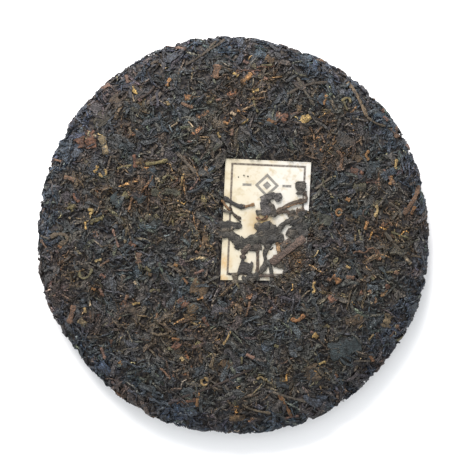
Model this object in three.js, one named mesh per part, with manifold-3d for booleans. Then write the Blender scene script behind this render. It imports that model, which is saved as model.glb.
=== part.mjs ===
// A pressed cake of aged tea: a flat round of steamed leaves, twigs and buds, squeezed in a cloth bag under a
// stone. The top is a low dome with a soft shoulder, the edge is ragged, and the underside has a flat ring
// to rest on and the hollow that the knot of the bag leaves. A paper ticket is pressed into the top, off
// centre, half under leaves. Millimetres, +Z up, origin in the middle of the base. Seen from above, +Y is the
// ticket's top edge and +X its right.
import * as THREE from "three";
import { ImprovedNoise } from "three/addons/math/ImprovedNoise.js";
import { mergeVertices } from "three/addons/utils/BufferGeometryUtils.js";
import Module from "manifold-3d";

const wasm = await Module();
wasm.setup();

// Driving dimensions of the cake
const cakeRadius = 99.9;
const cakeHeight = 21;
const rimHeight = 9; // the widest line, above the table
const shoulder = 4.6; // exponent of the dome: 2 is round, more is flatter with a quicker shoulder
const footRadius = 71; // where the flat resting ring ends
const knotRadius = 26; // the hollow left by the knot
const knotDepth = 12;
const knotFullness = 1.3;
const sectionSteps = 60; // points on each of the three curves of the section

// The outline isn't a true circle: it is longer one way, and its edge wanders in and out in a few slow waves,
// each with its number of crests round the cake, its height and the direction in degrees of its first crest
const outlineOval = 0.82;
const outlineLongWay = 108.5;
const edgeWaves = [
  { crests: 4, height: 0.26, direction: 26 },
  { crests: 5, height: 0.3, direction: 43.6 },
  { crests: 7, height: 0.33, direction: 39.4 },
  { crests: 8, height: 0.26, direction: 17.3 },
];

// Relief of the pressed leaves
const topGrain = 5.6; // spacing of the surface's points on the top and the edge
const underGrain = 8.5; // the same on the underside
const bumpHeight = 0.95;
const bumpSize = 6.5;
const crumbHeight = 0.45;
const pointScatter = 0.28; // share of the spacing by which a point strays

// The paper ticket, by its corners as seen from above
const ticketTopLeft = [-4.0, 39.2];
const ticketTopRight = [39.4, 36.7];
const ticketLowLeft = [-6.1, -22.6];
const ticketLowRight = [36.9, -23.0];
const ticketThick = 0.45;
const ticketSink = 0.75; // its face, below the mean level of the leaves
const ticketWave = 0.18;
const ticketGap = 0.3;
const ticketMargin = 6.5; // round the ticket, kept free of the leaves laid at random
const seatClear = 8; // height over the ticket's face that is cleared of the cake's own surface
const ticketCellsAcross = 8;
const ticketCellsDown = 11;

// Leaf and twig pieces fused on
const pieceStation = 4.2; // spacing of the sections along a piece
const keelDepth = 1.9; // how far a piece is rooted in the cake
const leafRise = 1.05;
const rimRise = 1.35;
const twigRise = 0.85;
const coverRise = 1.2; // a leaf that lies over the ticket, above the mean level of the leaves
const looseLeaves = 30;
const rimLeaves = 36;
const underLeaves = 8;
const underMargin = 8; // from the hollow and from the edge
const longestLeaf = 13;
const shortestLeaf = 7;
const narrowestLeaf = 0.25; // width, as a share of the length
const widestLeaf = 0.45;
const leafBow = 1.5;
const rimStray = 0.1; // share of the spacing by which a leaf of the edge strays
const rimSkew = 0.5; // radians by which it turns out of the edge's line
const rimBand = 2.5; // distance above or below the widest line

const noise = new ImprovedNoise();
const tau = 2 * Math.PI;
THREE.MathUtils.seededRandom(357);
const random = () => THREE.MathUtils.seededRandom();
const between = (low, high) => low + (high - low) * random();

// The section of the cake, from the middle of the top over the rim to the middle of the underside.
function sectionPoints() {
  const points = [];
  for (let i = 0; i <= sectionSteps; i++) {
    const turn = ((i / sectionSteps) * Math.PI) / 2;
    const radius = cakeRadius * Math.sin(turn) ** (2 / shoulder);
    points.push(new THREE.Vector2(radius, rimHeight + (cakeHeight - rimHeight) * Math.cos(turn)));
  }
  for (let i = 1; i <= sectionSteps; i++) {
    const turn = ((i / sectionSteps) * Math.PI) / 2;
    const radius = footRadius + (cakeRadius - footRadius) * Math.cos(turn);
    points.push(new THREE.Vector2(radius, rimHeight * (1 - Math.sin(turn))));
  }
  for (let i = 0; i <= sectionSteps; i++) {
    const share = 1 - i / sectionSteps;
    points.push(new THREE.Vector2(knotRadius * share, knotDepth * (1 - share ** 2) ** knotFullness));
  }
  return points;
}

const section = sectionPoints();
const sectionAt = [0];
for (let i = 1; i < section.length; i++) {
  sectionAt.push(sectionAt[i - 1] + section[i].distanceTo(section[i - 1]));
}
const sectionLength = sectionAt.at(-1);
const rimAt = sectionAt[sectionSteps];

// Radius, height and outward normal of the section, a distance along it from the middle of the top.
function along(distance) {
  const s = THREE.MathUtils.clamp(distance, 0, sectionLength);
  let i = sectionAt.findIndex((at) => at > s);
  if (i < 0) i = section.length - 1;
  const [a, b] = [section[i - 1], section[i]];
  const share = (s - sectionAt[i - 1]) / (sectionAt[i] - sectionAt[i - 1]);
  const way = b.clone().sub(a).normalize();
  return { radius: a.x + (b.x - a.x) * share, height: a.y + (b.y - a.y) * share, out: -way.y, up: way.x };
}

// Distance along the section to a radius on the top, as seen from above.
function reach(radius) {
  let [low, high] = [0, rimAt];
  for (let i = 0; i < 30; i++) {
    const middle = (low + high) / 2;
    if (along(middle).radius < radius) low = middle;
    else high = middle;
  }
  return low;
}

// How far the outline lies outside the mean circle, in a direction.
function outline(angle) {
  const oval = { crests: 2, height: outlineOval, direction: outlineLongWay };
  return [oval, ...edgeWaves].reduce(
    (sum, wave) => sum + wave.height * Math.cos(wave.crests * (angle - THREE.MathUtils.degToRad(wave.direction))),
    0,
  );
}

const relief = (p) => bumpHeight * noise.noise(p.x / bumpSize, p.y / bumpSize, p.z / bumpSize + 11);

// A point of the skin, lifted by the relief and by rise. side is 1 for the top and -1 for the underside, and
// (x, y) are distances along the skin from the middle of that side.
function skin(x, y, side, rise = 0) {
  const distance = Math.hypot(x, y);
  const at = along(side > 0 ? distance : sectionLength - distance);
  const angle = Math.atan2(y, x);
  const out = new THREE.Vector3(Math.cos(angle) * at.out, Math.sin(angle) * at.out, at.up);
  const radius = at.radius + (outline(angle) * at.radius) / cakeRadius;
  const p = new THREE.Vector3(radius * Math.cos(angle), radius * Math.sin(angle), at.height);
  p.addScaledVector(out, relief(p) + rise);
  p.z = Math.max(p.z, 0);
  return p;
}

// A closed solid from points and triangles of point numbers. turn is -1 where the triangles face inwards.
function solidOf(points, faces, turn = 1) {
  const geometry = new THREE.BufferGeometry();
  geometry.setAttribute("position", new THREE.BufferAttribute(new Float32Array(points.flatMap((p) => p.toArray())), 3));
  geometry.setIndex(faces.flatMap(([a, b, c]) => (turn > 0 ? [a, b, c] : [a, c, b])));
  const merged = mergeVertices(geometry, 1e-4);
  const vertProperties = merged.attributes.position.array;
  return new wasm.Manifold(new wasm.Mesh({ numProp: 3, vertProperties, triVerts: new Uint32Array(merged.index.array) }));
}

// Triangles between two rings of points that may differ in number, each given as its first point and count.
function stitch(outer, inner) {
  const faces = [];
  let [i, j] = [0, 0];
  while (i < outer.count || j < inner.count) {
    const nextOuter = (i + 1) / outer.count;
    const nextInner = (j + 1) / inner.count;
    const a = outer.first + (i % outer.count);
    const b = inner.first + (j % inner.count);
    if (j >= inner.count || (i < outer.count && nextOuter <= nextInner)) {
      faces.push([a, outer.first + ((i + 1) % outer.count), b]);
      i++;
    } else {
      faces.push([a, inner.first + ((j + 1) % inner.count), b]);
      j++;
    }
  }
  return faces;
}

// The body of the cake: rings of points round the section, each point strayed a little and raised or sunk.
function pressedBody() {
  const points = [skin(0, 0, 1)];
  const rings = [{ first: 0, count: 1 }];
  let distance = topGrain;
  while (distance < sectionLength - underGrain / 2) {
    const onTop = distance < rimAt + 2 * topGrain;
    const grain = onTop ? topGrain : underGrain;
    const side = onTop ? 1 : -1;
    const count = Math.max(6, Math.round((tau * along(distance).radius) / grain));
    const first = points.length;
    for (let i = 0; i < count; i++) {
      const angle = ((i + pointScatter * between(-1, 1)) / count) * tau;
      const strayed = distance + pointScatter * grain * between(-1, 1);
      const from = side > 0 ? strayed : sectionLength - strayed;
      points.push(skin(from * Math.cos(angle), from * Math.sin(angle), side, crumbHeight * between(-1, 1)));
    }
    rings.push({ first, count });
    distance += grain;
  }
  rings.push({ first: points.length, count: 1 });
  points.push(skin(0, 0, -1));
  const faces = rings.slice(1).flatMap((ring, i) => stitch(ring, rings[i]));
  return solidOf(points, faces.filter(([a, b, c]) => a !== b && b !== c && c !== a));
}

// A leaf strip or twig from one point to another, along the skin: a lozenge section, widest in the middle,
// rooted by its keel. bow is how far its middle swings to the left, and blunt how square its ends are.
function piece({ from, to, width, bow = 0, rise = leafRise, blunt = 0.5, side = 1 }) {
  const [start, end] = [from, to].map(([x, y]) => new THREE.Vector2(x, y));
  const way = end.clone().sub(start);
  const count = Math.max(3, Math.round(way.length() / pieceStation));
  const left = new THREE.Vector2(-way.y, way.x).normalize();
  const centre = (t) => start.clone().addScaledVector(way, t).addScaledVector(left, 4 * bow * t * (1 - t));
  const points = [];
  for (let i = 0; i <= count; i++) {
    const t = i / count;
    const c = centre(t);
    if (i === 0 || i === count) {
      points.push(skin(c.x, c.y, side, rise - keelDepth / 2));
      continue;
    }
    const half = (width / 2) * Math.sin(Math.PI * t) ** (1 - blunt) * between(0.8, 1.15);
    const [l, r] = [1, -1].map((way) => c.clone().addScaledVector(left, way * half));
    points.push(skin(l.x, l.y, side, rise * between(0.3, 0.8)));
    points.push(skin(c.x, c.y, side, rise * between(0.85, 1.1)));
    points.push(skin(r.x, r.y, side, rise * between(0.3, 0.8)));
    points.push(skin(c.x, c.y, side, rise - keelDepth));
  }
  const last = points.length - 1;
  const faces = [];
  for (let k = 0; k < 4; k++) {
    const next = (k + 1) % 4;
    faces.push([0, 1 + next, 1 + k], [last, last - 4 + k, last - 4 + next]);
    for (let i = 0; i < count - 2; i++) {
      const [a, b, c, d] = [1 + 4 * i + k, 1 + 4 * i + next, 5 + 4 * i + k, 5 + 4 * i + next];
      faces.push([a, b, c], [b, d, c]);
    }
  }
  return solidOf(points, faces, side);
}

// Twigs and large leaves that stand out on the top, each from one end to the other as seen from above, with
// its width and bow.
const twigs = [
  [-4, 100, -24, 86, 1.6, 0.8],
  [-36, 72, -44, 66, 1.8, 0],
  [-39, 76.5, -47, 69, 1.3, 1.5],
  [-29, 42, -19, 31.5, 1.7, 0],
  [-44.5, 36, -32, 37.2, 1.4, 0.3],
  [-57, 33.5, -45, 36.2, 1.3, 0],
  [57.8, 78, 67.5, 59.5, 1.9, 0.8],
  [67.5, 59.5, 77, 55, 1.2, -1.2],
  [32.6, 79.5, 39.3, 67, 1.4, 0],
  [27.4, 71.3, 47.4, 77.3, 1.5, 2],
  [16.3, 85.4, 12.9, 76.5, 1.2, 0],
  [95, 24.5, 88.5, 11.5, 3.0, 0],
  [77, 1, 90, -14.5, 1.7, 0],
  [61.5, -8.5, 71, -11, 1.2, -1.8],
  [-100.5, 1.5, -92, -10.5, 1.8, 0.5],
  [-60.5, 2.5, -57.5, -6.5, 1.4, 0],
  [-77.5, -19.5, -70, -15.5, 1.3, -2.5],
  [11.5, -25, 6.5, -40.5, 1.1, 0.8],
  [23, -80, 31, -94, 1.8, 0.5],
  [20, -79, 38.5, -84, 1.5, 0],
  [-33.5, -86, -8, -75.5, 1.2, 1.2],
  [-65.5, -53.5, -64.5, -63, 1.5, 0],
  [-10.5, -58, -10.5, -66, 1.7, 0],
  [78.5, -52, 82.5, -48, 1.5, 0],
];
const flakes = [
  [-77, 52, -71, 45, 7.5, 0.5],
  [-66.5, 51, -64.5, 38, 3.4, 0.3],
  [-22, 71, -20, 64, 4.2, 0],
  [-61, 70, -57, 65, 4, 0],
  [-40, 21, -26, 22, 2.6, 0.4],
  [-4, 84, -8, 78, 3.6, 0],
  [18, 57, 26, 61, 3.6, 0.5],
  [33, 57, 41, 62, 3.2, -1],
  [80, 56, 84, 48, 3.6, 0],
  [58, 32.5, 67, 31.5, 3.4, 0.4],
  [-19.5, -24, -12, -30, 7, 0.6],
  [-23, -33, -18, -43, 5.5, 0.5],
  [-83, -36, -82, -45, 3.4, 0.3],
  [-49, -8, -47, -16, 4.2, 0],
  [-21, -79, -17, -86, 4.6, 0],
  [54, -42, 64, -44, 4.8, 0.5],
  [37, -64, 41, -74, 6.5, 0.5],
  [47, -28, 51, -34, 4.4, 0],
];

// The leaves and twigs that lie over the ticket and reach the cake beside it.
const coverTwigs = [
  [-6.4, 18, 10.4, 15.4, 1.5, -2.4],
  [-6.8, 16.6, 3.8, 8.3, 1.4, -0.6],
  [11.9, 8.6, 17.2, 10.6, 1.1, -2.2],
  [22, 2.3, 28.5, 9.3, 1.8, 0],
  [37.6, 0.2, 20.5, -13.7, 2.0, 0],
  [20, -2.6, 13.2, -10.8, 1.7, 0.3],
  [12.6, -4, 12.4, -23, 1.3, 0.3],
  [13.6, -8.6, 16.4, -16.8, 1.4, 0.4],
  [16.6, -15, 12.4, -20, 1.2, 0],
  [21.4, -3, 24.3, -11.4, 1.7, 0.3],
  [-7.5, -19.2, 4, -19.8, 1.2, 0],
];
const coverLeaves = [
  [-11.6, 6.6, 4.6, 6.8, 4.8, 0.3],
  [-8.4, 3.6, 5.6, -3.4, 4.8, 0.4],
  [2.4, -3.6, 15, 3.8, 5.2, 0.5],
  [9, -2.6, 4.6, -12.4, 2.8, -0.6],
  [16, 8, 16.9, 21.4, 5.2, 0.2],
  [15, 18.6, 25.4, 17.2, 3.2, 1.5],
  [13.4, 16.6, 19.8, 8.6, 4.4, 0.5],
  [11, 4.8, 26.8, -1.8, 8.4, 0.6],
  [14, -5, 22.2, 7, 7.2, 0.3],
  [20.6, 9.8, 41, 18.4, 2.8, 1],
  [21.8, 14.6, 30, 7.6, 4.4, 0.3],
  [32.4, 19, 33.9, 27.4, 4.8, 0.2],
  [33.6, 22, 42.5, 15, 2.2, 0],
  [26, 8, 36.6, 0.4, 4.2, 1.4],
  [36, 3, 27.4, 0, 4.2, 0],
  [34, 4.6, 31, -4, 4.6, 0],
  [30, 14.6, 44, 8, 4.6, 0.4],
  [31.6, 11.6, 43, -1.6, 6.4, 0.8],
  [23.2, -3, 29, -8.6, 2.6, 0.4],
  [1.6, -15, 10.4, -18.6, 5.2, 0],
  [0.6, -18, 1.4, -27.5, 2.6, 0],
  [0, -22.8, 16, -20.6, 3.6, 0.3],
  [9, -15.4, 11, -27, 3.4, 0],
  [42, -1.4, 26, -14.6, 6.6, 0.5],
  [43, -9, 21, -15.6, 7, 0.3],
  [42, -17, 15.6, -21.6, 7.4, 0.4],
  [33, -10, 26, -27, 7, 0],
];

// Whether a place is on the ticket or so near that a leaf there could cover it.
function nearTicket(x, y) {
  const [left, right] = [ticketLowLeft[0] - ticketMargin, ticketTopRight[0] + ticketMargin];
  const [low, high] = [ticketLowRight[1] - ticketMargin, ticketTopLeft[1] + ticketMargin];
  return x > left && x < right && y > low && y < high;
}

// Leaves all round the edge, roughly along it, and leaves at random over the top and the underside, a little
// further apart than they are long.
function looseOnes() {
  const ones = [];
  const add = (distance, angle, heading, side, rise) => {
    const [x, y] = [distance * Math.cos(angle), distance * Math.sin(angle)];
    const length = between(shortestLeaf, longestLeaf);
    const [dx, dy] = [(Math.cos(heading) * length) / 2, (Math.sin(heading) * length) / 2];
    const width = between(narrowestLeaf, widestLeaf) * length;
    const bow = between(-leafBow, leafBow);
    ones.push({ from: [x - dx, y - dy], to: [x + dx, y + dy], width, bow, rise, side, x, y });
  };
  for (let i = 0; i < rimLeaves; i++) {
    const angle = ((i + between(-rimStray, rimStray)) / rimLeaves) * tau;
    const heading = angle + Math.PI / 2 + between(-rimSkew, rimSkew);
    add(rimAt + between(-rimBand, rimBand), angle, heading, 1, rimRise);
  }
  const scatter = (count, side, nearest, furthest) => {
    for (let tries = 0, added = 0; added < count && tries < 60 * count; tries++) {
      const distance = Math.sqrt(between(nearest ** 2, furthest ** 2));
      const angle = between(0, tau);
      const [x, y] = [distance * Math.cos(angle), distance * Math.sin(angle)];
      const overTicket = side > 0 && nearTicket(x, y);
      const crowded = ones.some((one) => one.side === side && Math.hypot(one.x - x, one.y - y) < longestLeaf);
      if (overTicket || crowded) continue;
      add(distance, angle, between(0, tau), side, leafRise);
      added++;
    }
  };
  scatter(looseLeaves, 1, 0, rimAt - longestLeaf);
  scatter(underLeaves, -1, knotRadius + underMargin, sectionLength - rimAt - underMargin);
  return ones.map(piece);
}

// From a place as seen from above to distances along the skin.
function laidOut([x, y]) {
  const radius = Math.hypot(x, y);
  const share = radius > 0 ? reach(Math.min(radius, cakeRadius)) / radius : 1;
  return [x * share, y * share];
}

const placed = (rows, extra) =>
  rows.map(([x0, y0, x1, y1, width, bow]) =>
    piece({ from: laidOut([x0, y0]), to: laidOut([x1, y1]), width, bow, ...extra }),
  );

// Height of the ticket's face, which follows the dome and waves a little.
function ticketHeight(x, y) {
  const dome = along(reach(Math.hypot(x, y))).height;
  return dome - ticketSink + ticketWave * Math.sin(x / 6 + 0.7) * Math.cos(y / 9);
}

// A slab with the ticket's outline, grown on every side, between two heights over the ticket's face.
function ticketSlab(grow, low, high) {
  const corners = [ticketLowLeft, ticketLowRight, ticketTopLeft, ticketTopRight].map(([x, y]) => new THREE.Vector2(x, y));
  const width = corners[0].distanceTo(corners[1]);
  const height = corners[0].distanceTo(corners[2]);
  const spread = (i, cells, size) => (i / cells - 0.5) * (1 + (2 * grow) / size) + 0.5;
  const points = [];
  for (const level of [low, high]) {
    for (let j = 0; j <= ticketCellsDown; j++) {
      for (let i = 0; i <= ticketCellsAcross; i++) {
        const [u, v] = [spread(i, ticketCellsAcross, width), spread(j, ticketCellsDown, height)];
        const bottom = corners[0].clone().lerp(corners[1], u);
        const p = bottom.lerp(corners[2].clone().lerp(corners[3], u), v);
        points.push(new THREE.Vector3(p.x, p.y, ticketHeight(p.x, p.y) + level));
      }
    }
  }
  const row = ticketCellsAcross + 1;
  const layer = row * (ticketCellsDown + 1);
  const faces = [];
  for (let j = 0; j < ticketCellsDown; j++) {
    for (let i = 0; i < ticketCellsAcross; i++) {
      const a = j * row + i;
      faces.push([a, a + row, a + 1], [a + 1, a + row, a + row + 1]);
      const b = a + layer;
      faces.push([b, b + 1, b + row], [b + 1, b + row + 1, b + row]);
    }
  }
  const border = [];
  for (let i = 0; i < ticketCellsAcross; i++) border.push(i);
  for (let j = 0; j < ticketCellsDown; j++) border.push(j * row + ticketCellsAcross);
  for (let i = ticketCellsAcross; i > 0; i--) border.push(ticketCellsDown * row + i);
  for (let j = ticketCellsDown; j > 0; j--) border.push(j * row);
  border.forEach((a, k) => {
    const b = border[(k + 1) % border.length];
    faces.push([a, b, a + layer], [b, b + layer, a + layer]);
  });
  return solidOf(points, faces);
}

// The largest closed body of a solid: scraps and sealed hollows go.
function largest(solid) {
  return solid.decompose().sort((a, b) => b.volume() - a.volume())[0];
}

const joined = (solids) => solids.reduce((sum, solid) => sum.add(solid));

function pressedTea() {
  const seat = ticketSlab(ticketGap, -ticketThick - ticketGap, seatClear);
  const clearance = ticketSlab(ticketGap, -ticketThick - ticketGap, ticketGap);
  const body = joined([
    pressedBody(),
    ...placed(twigs, { rise: twigRise, blunt: 0.8 }),
    ...placed(flakes, { blunt: 0.6 }),
    ...looseOnes(),
  ]);
  const cover = joined([
    ...placed(coverTwigs, { rise: coverRise, blunt: 0.8 }),
    ...placed(coverLeaves, { rise: coverRise, blunt: 0.65 }),
  ]);
  return largest(body.subtract(seat).add(cover.subtract(clearance)));
}

function meshOf(name, solid, material) {
  const { numProp, numVert, vertProperties, triVerts } = solid.getMesh();
  const positions = new Float32Array(numVert * 3);
  for (let i = 0; i < numVert; i++) positions.set(vertProperties.subarray(i * numProp, i * numProp + 3), i * 3);
  const geometry = new THREE.BufferGeometry();
  geometry.setAttribute("position", new THREE.BufferAttribute(positions, 3));
  geometry.setIndex(new THREE.BufferAttribute(triVerts, 1));
  geometry.computeVertexNormals();
  const mesh = new THREE.Mesh(geometry, material);
  mesh.name = name;
  return mesh;
}

const teaColour = new THREE.MeshStandardMaterial({ color: 0x48443f, roughness: 0.7, metalness: 0, flatShading: true });
const paperColour = new THREE.MeshStandardMaterial({ color: 0xf2ead6, roughness: 0.9, metalness: 0 });

const teaCake = new THREE.Group();
teaCake.add(
  meshOf("pressed_tea", pressedTea(), teaColour),
  meshOf("inner_ticket", ticketSlab(0, -ticketThick, 0), paperColour),
);

export default teaCake;
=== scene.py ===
# %% [markdown]
# A pressed cake of aged tea. On the real thing a few hundred grams of steamed leaves, twigs and buds are
# squeezed in a cloth bag under a stone, with a small paper ticket pressed into the top. The solid model of
# it is loaded first: it gives the overall box that everything below has to stay inside.

# %% Load the solid model
import math

import bpy
import numpy as np
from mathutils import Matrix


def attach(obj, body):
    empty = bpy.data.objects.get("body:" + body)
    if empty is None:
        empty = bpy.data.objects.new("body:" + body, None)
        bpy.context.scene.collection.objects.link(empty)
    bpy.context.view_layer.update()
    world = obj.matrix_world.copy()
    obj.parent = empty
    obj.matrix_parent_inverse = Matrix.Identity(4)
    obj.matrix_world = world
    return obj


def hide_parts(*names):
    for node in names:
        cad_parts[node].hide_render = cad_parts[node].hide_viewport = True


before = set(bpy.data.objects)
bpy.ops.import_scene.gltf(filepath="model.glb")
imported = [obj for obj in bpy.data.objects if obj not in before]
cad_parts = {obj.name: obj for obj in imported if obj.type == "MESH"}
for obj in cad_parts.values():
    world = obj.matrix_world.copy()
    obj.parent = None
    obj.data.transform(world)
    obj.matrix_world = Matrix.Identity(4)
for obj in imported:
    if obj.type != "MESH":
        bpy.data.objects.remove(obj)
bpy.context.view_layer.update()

# %% [markdown]
# All lengths below are in millimetres, because leaves are a few millimetres long, and become metres when a
# mesh is made. The cake's section is one curve from the middle of the top, over the rim, to the middle of
# the underside: a low dome with a quick shoulder, a flat ring to rest on, and the hollow of the bag's knot.
# Every leaf is laid out flat on this skin and then bent onto it, so that it follows the edge as pressed
# leaves do.

# %% The cake's section
MM = 0.001
CAKE_RADIUS = 99.35
CAKE_HEIGHT = 20.6
RIM_HEIGHT = 9.0
SHOULDER = 4.6
FOOT_RADIUS = 71.0
KNOT_RADIUS = 26.0
KNOT_DEPTH = 12.0
KNOT_FULLNESS = 1.3
SAME_POINT = 1e-6


def section_curve(steps=200):
    turn = np.linspace(0, math.pi / 2, steps)
    share = np.linspace(1, 0, steps)
    dome = RIM_HEIGHT + (CAKE_HEIGHT - RIM_HEIGHT) * np.cos(turn)
    top = (CAKE_RADIUS * np.sin(turn) ** (2 / SHOULDER), dome)
    flank = (FOOT_RADIUS + (CAKE_RADIUS - FOOT_RADIUS) * np.cos(turn), RIM_HEIGHT * (1 - np.sin(turn)))
    knot = (KNOT_RADIUS * share, KNOT_DEPTH * (1 - share**2) ** KNOT_FULLNESS)
    radius, height = (np.concatenate(parts) for parts in zip(top, flank, knot))
    keep = np.concatenate([[True], np.hypot(np.diff(radius), np.diff(height)) > SAME_POINT])
    return radius[keep], height[keep]


SECTION_R, SECTION_Z = section_curve()
SECTION_AT = np.concatenate([[0], np.cumsum(np.hypot(np.diff(SECTION_R), np.diff(SECTION_Z)))])
SECTION_LENGTH = SECTION_AT[-1]
RIM_AT = SECTION_AT[np.argmax(SECTION_R)]
way_r = np.gradient(SECTION_R, SECTION_AT)
way_z = np.gradient(SECTION_Z, SECTION_AT)
NORMAL_R = -way_z / np.hypot(way_r, way_z)
NORMAL_Z = way_r / np.hypot(way_r, way_z)
print("section is", round(SECTION_LENGTH, 1), "mm long, rim at", round(RIM_AT, 1))

# %% [markdown]
# Two helpers carry the whole cake. wave_field is a smooth random height from some twenty plane waves, quick
# to work out for a million points at once. skin turns distances along the surface into points in space,
# lifted off it: it rolls the surface gently, nicks the rim as torn leaf ends do, makes the outline a little
# uneven, keeps the leaves from rising too far and stops them softly at the table.


# %% Skin of the cake
MOSTLY_LEVEL = [1, 1, 0.4]
SIZES_FROM, SIZES_TO = 0.6, 1.4


def wave_field(points, size, seed, count=22):
    """A smooth random value of about unit size at each point; size is its typical bump's width."""
    rng = np.random.default_rng(seed)
    ways = rng.normal(size=(count, 3)) * MOSTLY_LEVEL
    lengths = size * rng.uniform(SIZES_FROM, SIZES_TO, count)
    ways *= (math.pi / lengths / np.linalg.norm(ways, axis=1))[:, None]
    phases = rng.uniform(0, 2 * math.pi, count)
    return np.sin(points @ ways.T + phases).sum(axis=1) * math.sqrt(2 / count)


# How often each wave goes round the outline, its height and its phase in degrees.
OUTLINE_WAVES = [
    (1, 0.27, 65), (2, 0.82, 143), (4, 0.26, -105), (5, 0.30, 142), (7, 0.33, 84), (8, 0.26, -138),
]


def outline(angle):
    waves = (high * np.cos(turns * angle + math.radians(phase)) for turns, high, phase in OUTLINE_WAVES)
    return sum(waves)


TICKET_BOX = (-6.5, -23.6, 39.8, 39.2)


def near_ticket(x, y, reach_out):
    """1 on the ticket's place, as seen from above, fading to 0 over reach_out mm round it."""
    low_x, low_y, high_x, high_y = TICKET_BOX
    beside = np.maximum(np.maximum(low_x - x, x - high_x), 0)
    beyond = np.maximum(np.maximum(low_y - y, y - high_y), 0)
    return np.clip(1 - np.hypot(beside, beyond) / reach_out, 0, 1)


# Width and seed of the waves that roll the surface and of those that nick the rim.
RELIEF_WAVE = (7.0, 5)
NICK_WAVE = (3.2, 9)
NICK_FROM = 0.6
NICK_MOST = 1.4
NICK_FACTOR = 1.25
NICK_REACH = 7
CALM_REACH = 6
UNDER_INSET = 0.9
UNDER_BLEND = 25
HIGHEST = 1.7
HIGHEST_AT_RIM = 1.05
RIM_REACH = 10
SETTLE_BELOW = 0.25


def near_rim(at, width):
    """1 at the rim, fading smoothly over about width mm along the section to either side."""
    return np.exp(-(((at - RIM_AT) / width) ** 2))


def skin(x, y, side, lift, relief=0.32):
    """Points lift mm off the skin. x and y are distances along it from the middle of the top or underside."""
    along = np.hypot(x, y)
    at = np.where(side > 0, along, SECTION_LENGTH - along)
    angle = np.arctan2(y, x)
    radius = np.interp(at, SECTION_AT, SECTION_R)
    height = np.interp(at, SECTION_AT, SECTION_Z)
    out = np.interp(at, SECTION_AT, NORMAL_R)
    up = np.interp(at, SECTION_AT, NORMAL_Z)
    base = np.stack([radius * np.cos(angle), radius * np.sin(angle), height], axis=-1)
    calm = near_ticket(base[..., 0], base[..., 1], CALM_REACH) * (height > RIM_HEIGHT)
    rise = lift + relief * (1 - calm) * wave_field(base, *RELIEF_WAVE)
    rise = rise - UNDER_INSET * np.clip((at - RIM_AT) / UNDER_BLEND, 0, 1)
    nick = np.clip(wave_field(base, *NICK_WAVE) - NICK_FROM, 0, NICK_MOST)
    rise = rise - NICK_FACTOR * (nick * near_rim(at, NICK_REACH))
    highest = HIGHEST - (HIGHEST - HIGHEST_AT_RIM) * near_rim(at, RIM_REACH)
    eased = highest * (0.5 + 0.5 * np.tanh(2 * rise / highest - 1))
    rise = np.where(rise > 0.5 * highest, eased, rise)
    ring = radius + outline(angle) * radius / CAKE_RADIUS + out * rise
    z = height + up * rise
    settled = SETTLE_BELOW * np.exp(np.minimum(z, SETTLE_BELOW) / SETTLE_BELOW - 1)
    z = np.where(z < SETTLE_BELOW, settled, z)
    return np.stack([ring * np.cos(angle), ring * np.sin(angle), z], axis=-1)


def reach(radius):
    """Distance along the top to a radius seen from above."""
    top = SECTION_AT <= RIM_AT
    return np.interp(radius, SECTION_R[top], SECTION_AT[top])


print("a point of the top:", skin(np.array([30.0]), np.array([10.0]), 1, 0.0).round(2))

# %% [markdown]
# The core is the pressed mass that shows in the gaps. Its section is a chain of points, made from a circle
# that is cut open, spun round the axis in edit mode and merged. Each point remembers how far along the
# section it lies, in an attribute that the spin copies, so that the same skin can crumple it. The core lies
# a little below the leaves, and lower still in the ticket's seat.


# %% Core of the cake
CORE_SINK = 0.62
CORE_ROWS = 250
CORE_COLUMNS = 340
SEAT_DEPTH = 1.1
# Height, width and seed of the coarse and the fine crumpling.
CRUMPLES = [(0.3, 2.4, 21), (0.16, 1.2, 22)]
CRUMPLE_WAVES = 30
MERGE_WITHIN = 1e-3


def start_clean():
    if bpy.context.object and bpy.context.object.mode != "OBJECT":
        bpy.ops.object.mode_set(mode="OBJECT")
    bpy.ops.object.select_all(action="DESELECT")


def vertices_of(piece):
    flat = np.empty(len(piece.data.vertices) * 3, np.float32)
    piece.data.vertices.foreach_get("co", flat)
    return flat.reshape(-1, 3).astype(float)


def move_vertices(piece, points):
    piece.data.vertices.foreach_set("co", points.astype(np.float32).ravel())
    piece.data.update()


def section_chain(name, rows):
    start_clean()
    bpy.ops.mesh.primitive_circle_add(vertices=rows + 1, radius=1)
    chain = bpy.context.object
    chain.name = name
    bpy.ops.object.mode_set(mode="EDIT")
    bpy.ops.mesh.select_all(action="DESELECT")
    bpy.ops.object.mode_set(mode="OBJECT")
    chain.data.vertices[rows].select = True
    bpy.ops.object.mode_set(mode="EDIT")
    bpy.ops.mesh.delete(type="VERT")
    bpy.ops.object.mode_set(mode="OBJECT")
    at = np.linspace(0, SECTION_LENGTH, rows)
    radius = np.interp(at, SECTION_AT, SECTION_R)
    radius[[0, -1]] = 0
    move_vertices(chain, np.stack([radius, 0 * at, np.interp(at, SECTION_AT, SECTION_Z)], axis=1))
    chain.data.attributes.new("along", "FLOAT", "POINT").data.foreach_set("value", at.astype(np.float32))
    return chain


core = section_chain("pressed_core", CORE_ROWS)
bpy.ops.object.mode_set(mode="EDIT")
bpy.ops.mesh.select_all(action="SELECT")
bpy.ops.mesh.spin(steps=CORE_COLUMNS, angle=2 * math.pi, center=(0, 0, 0), axis=(0, 0, 1))
bpy.ops.mesh.select_all(action="SELECT")
bpy.ops.mesh.remove_doubles(threshold=MERGE_WITHIN)
bpy.ops.mesh.normals_make_consistent(inside=False)
bpy.ops.object.mode_set(mode="OBJECT")

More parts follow.
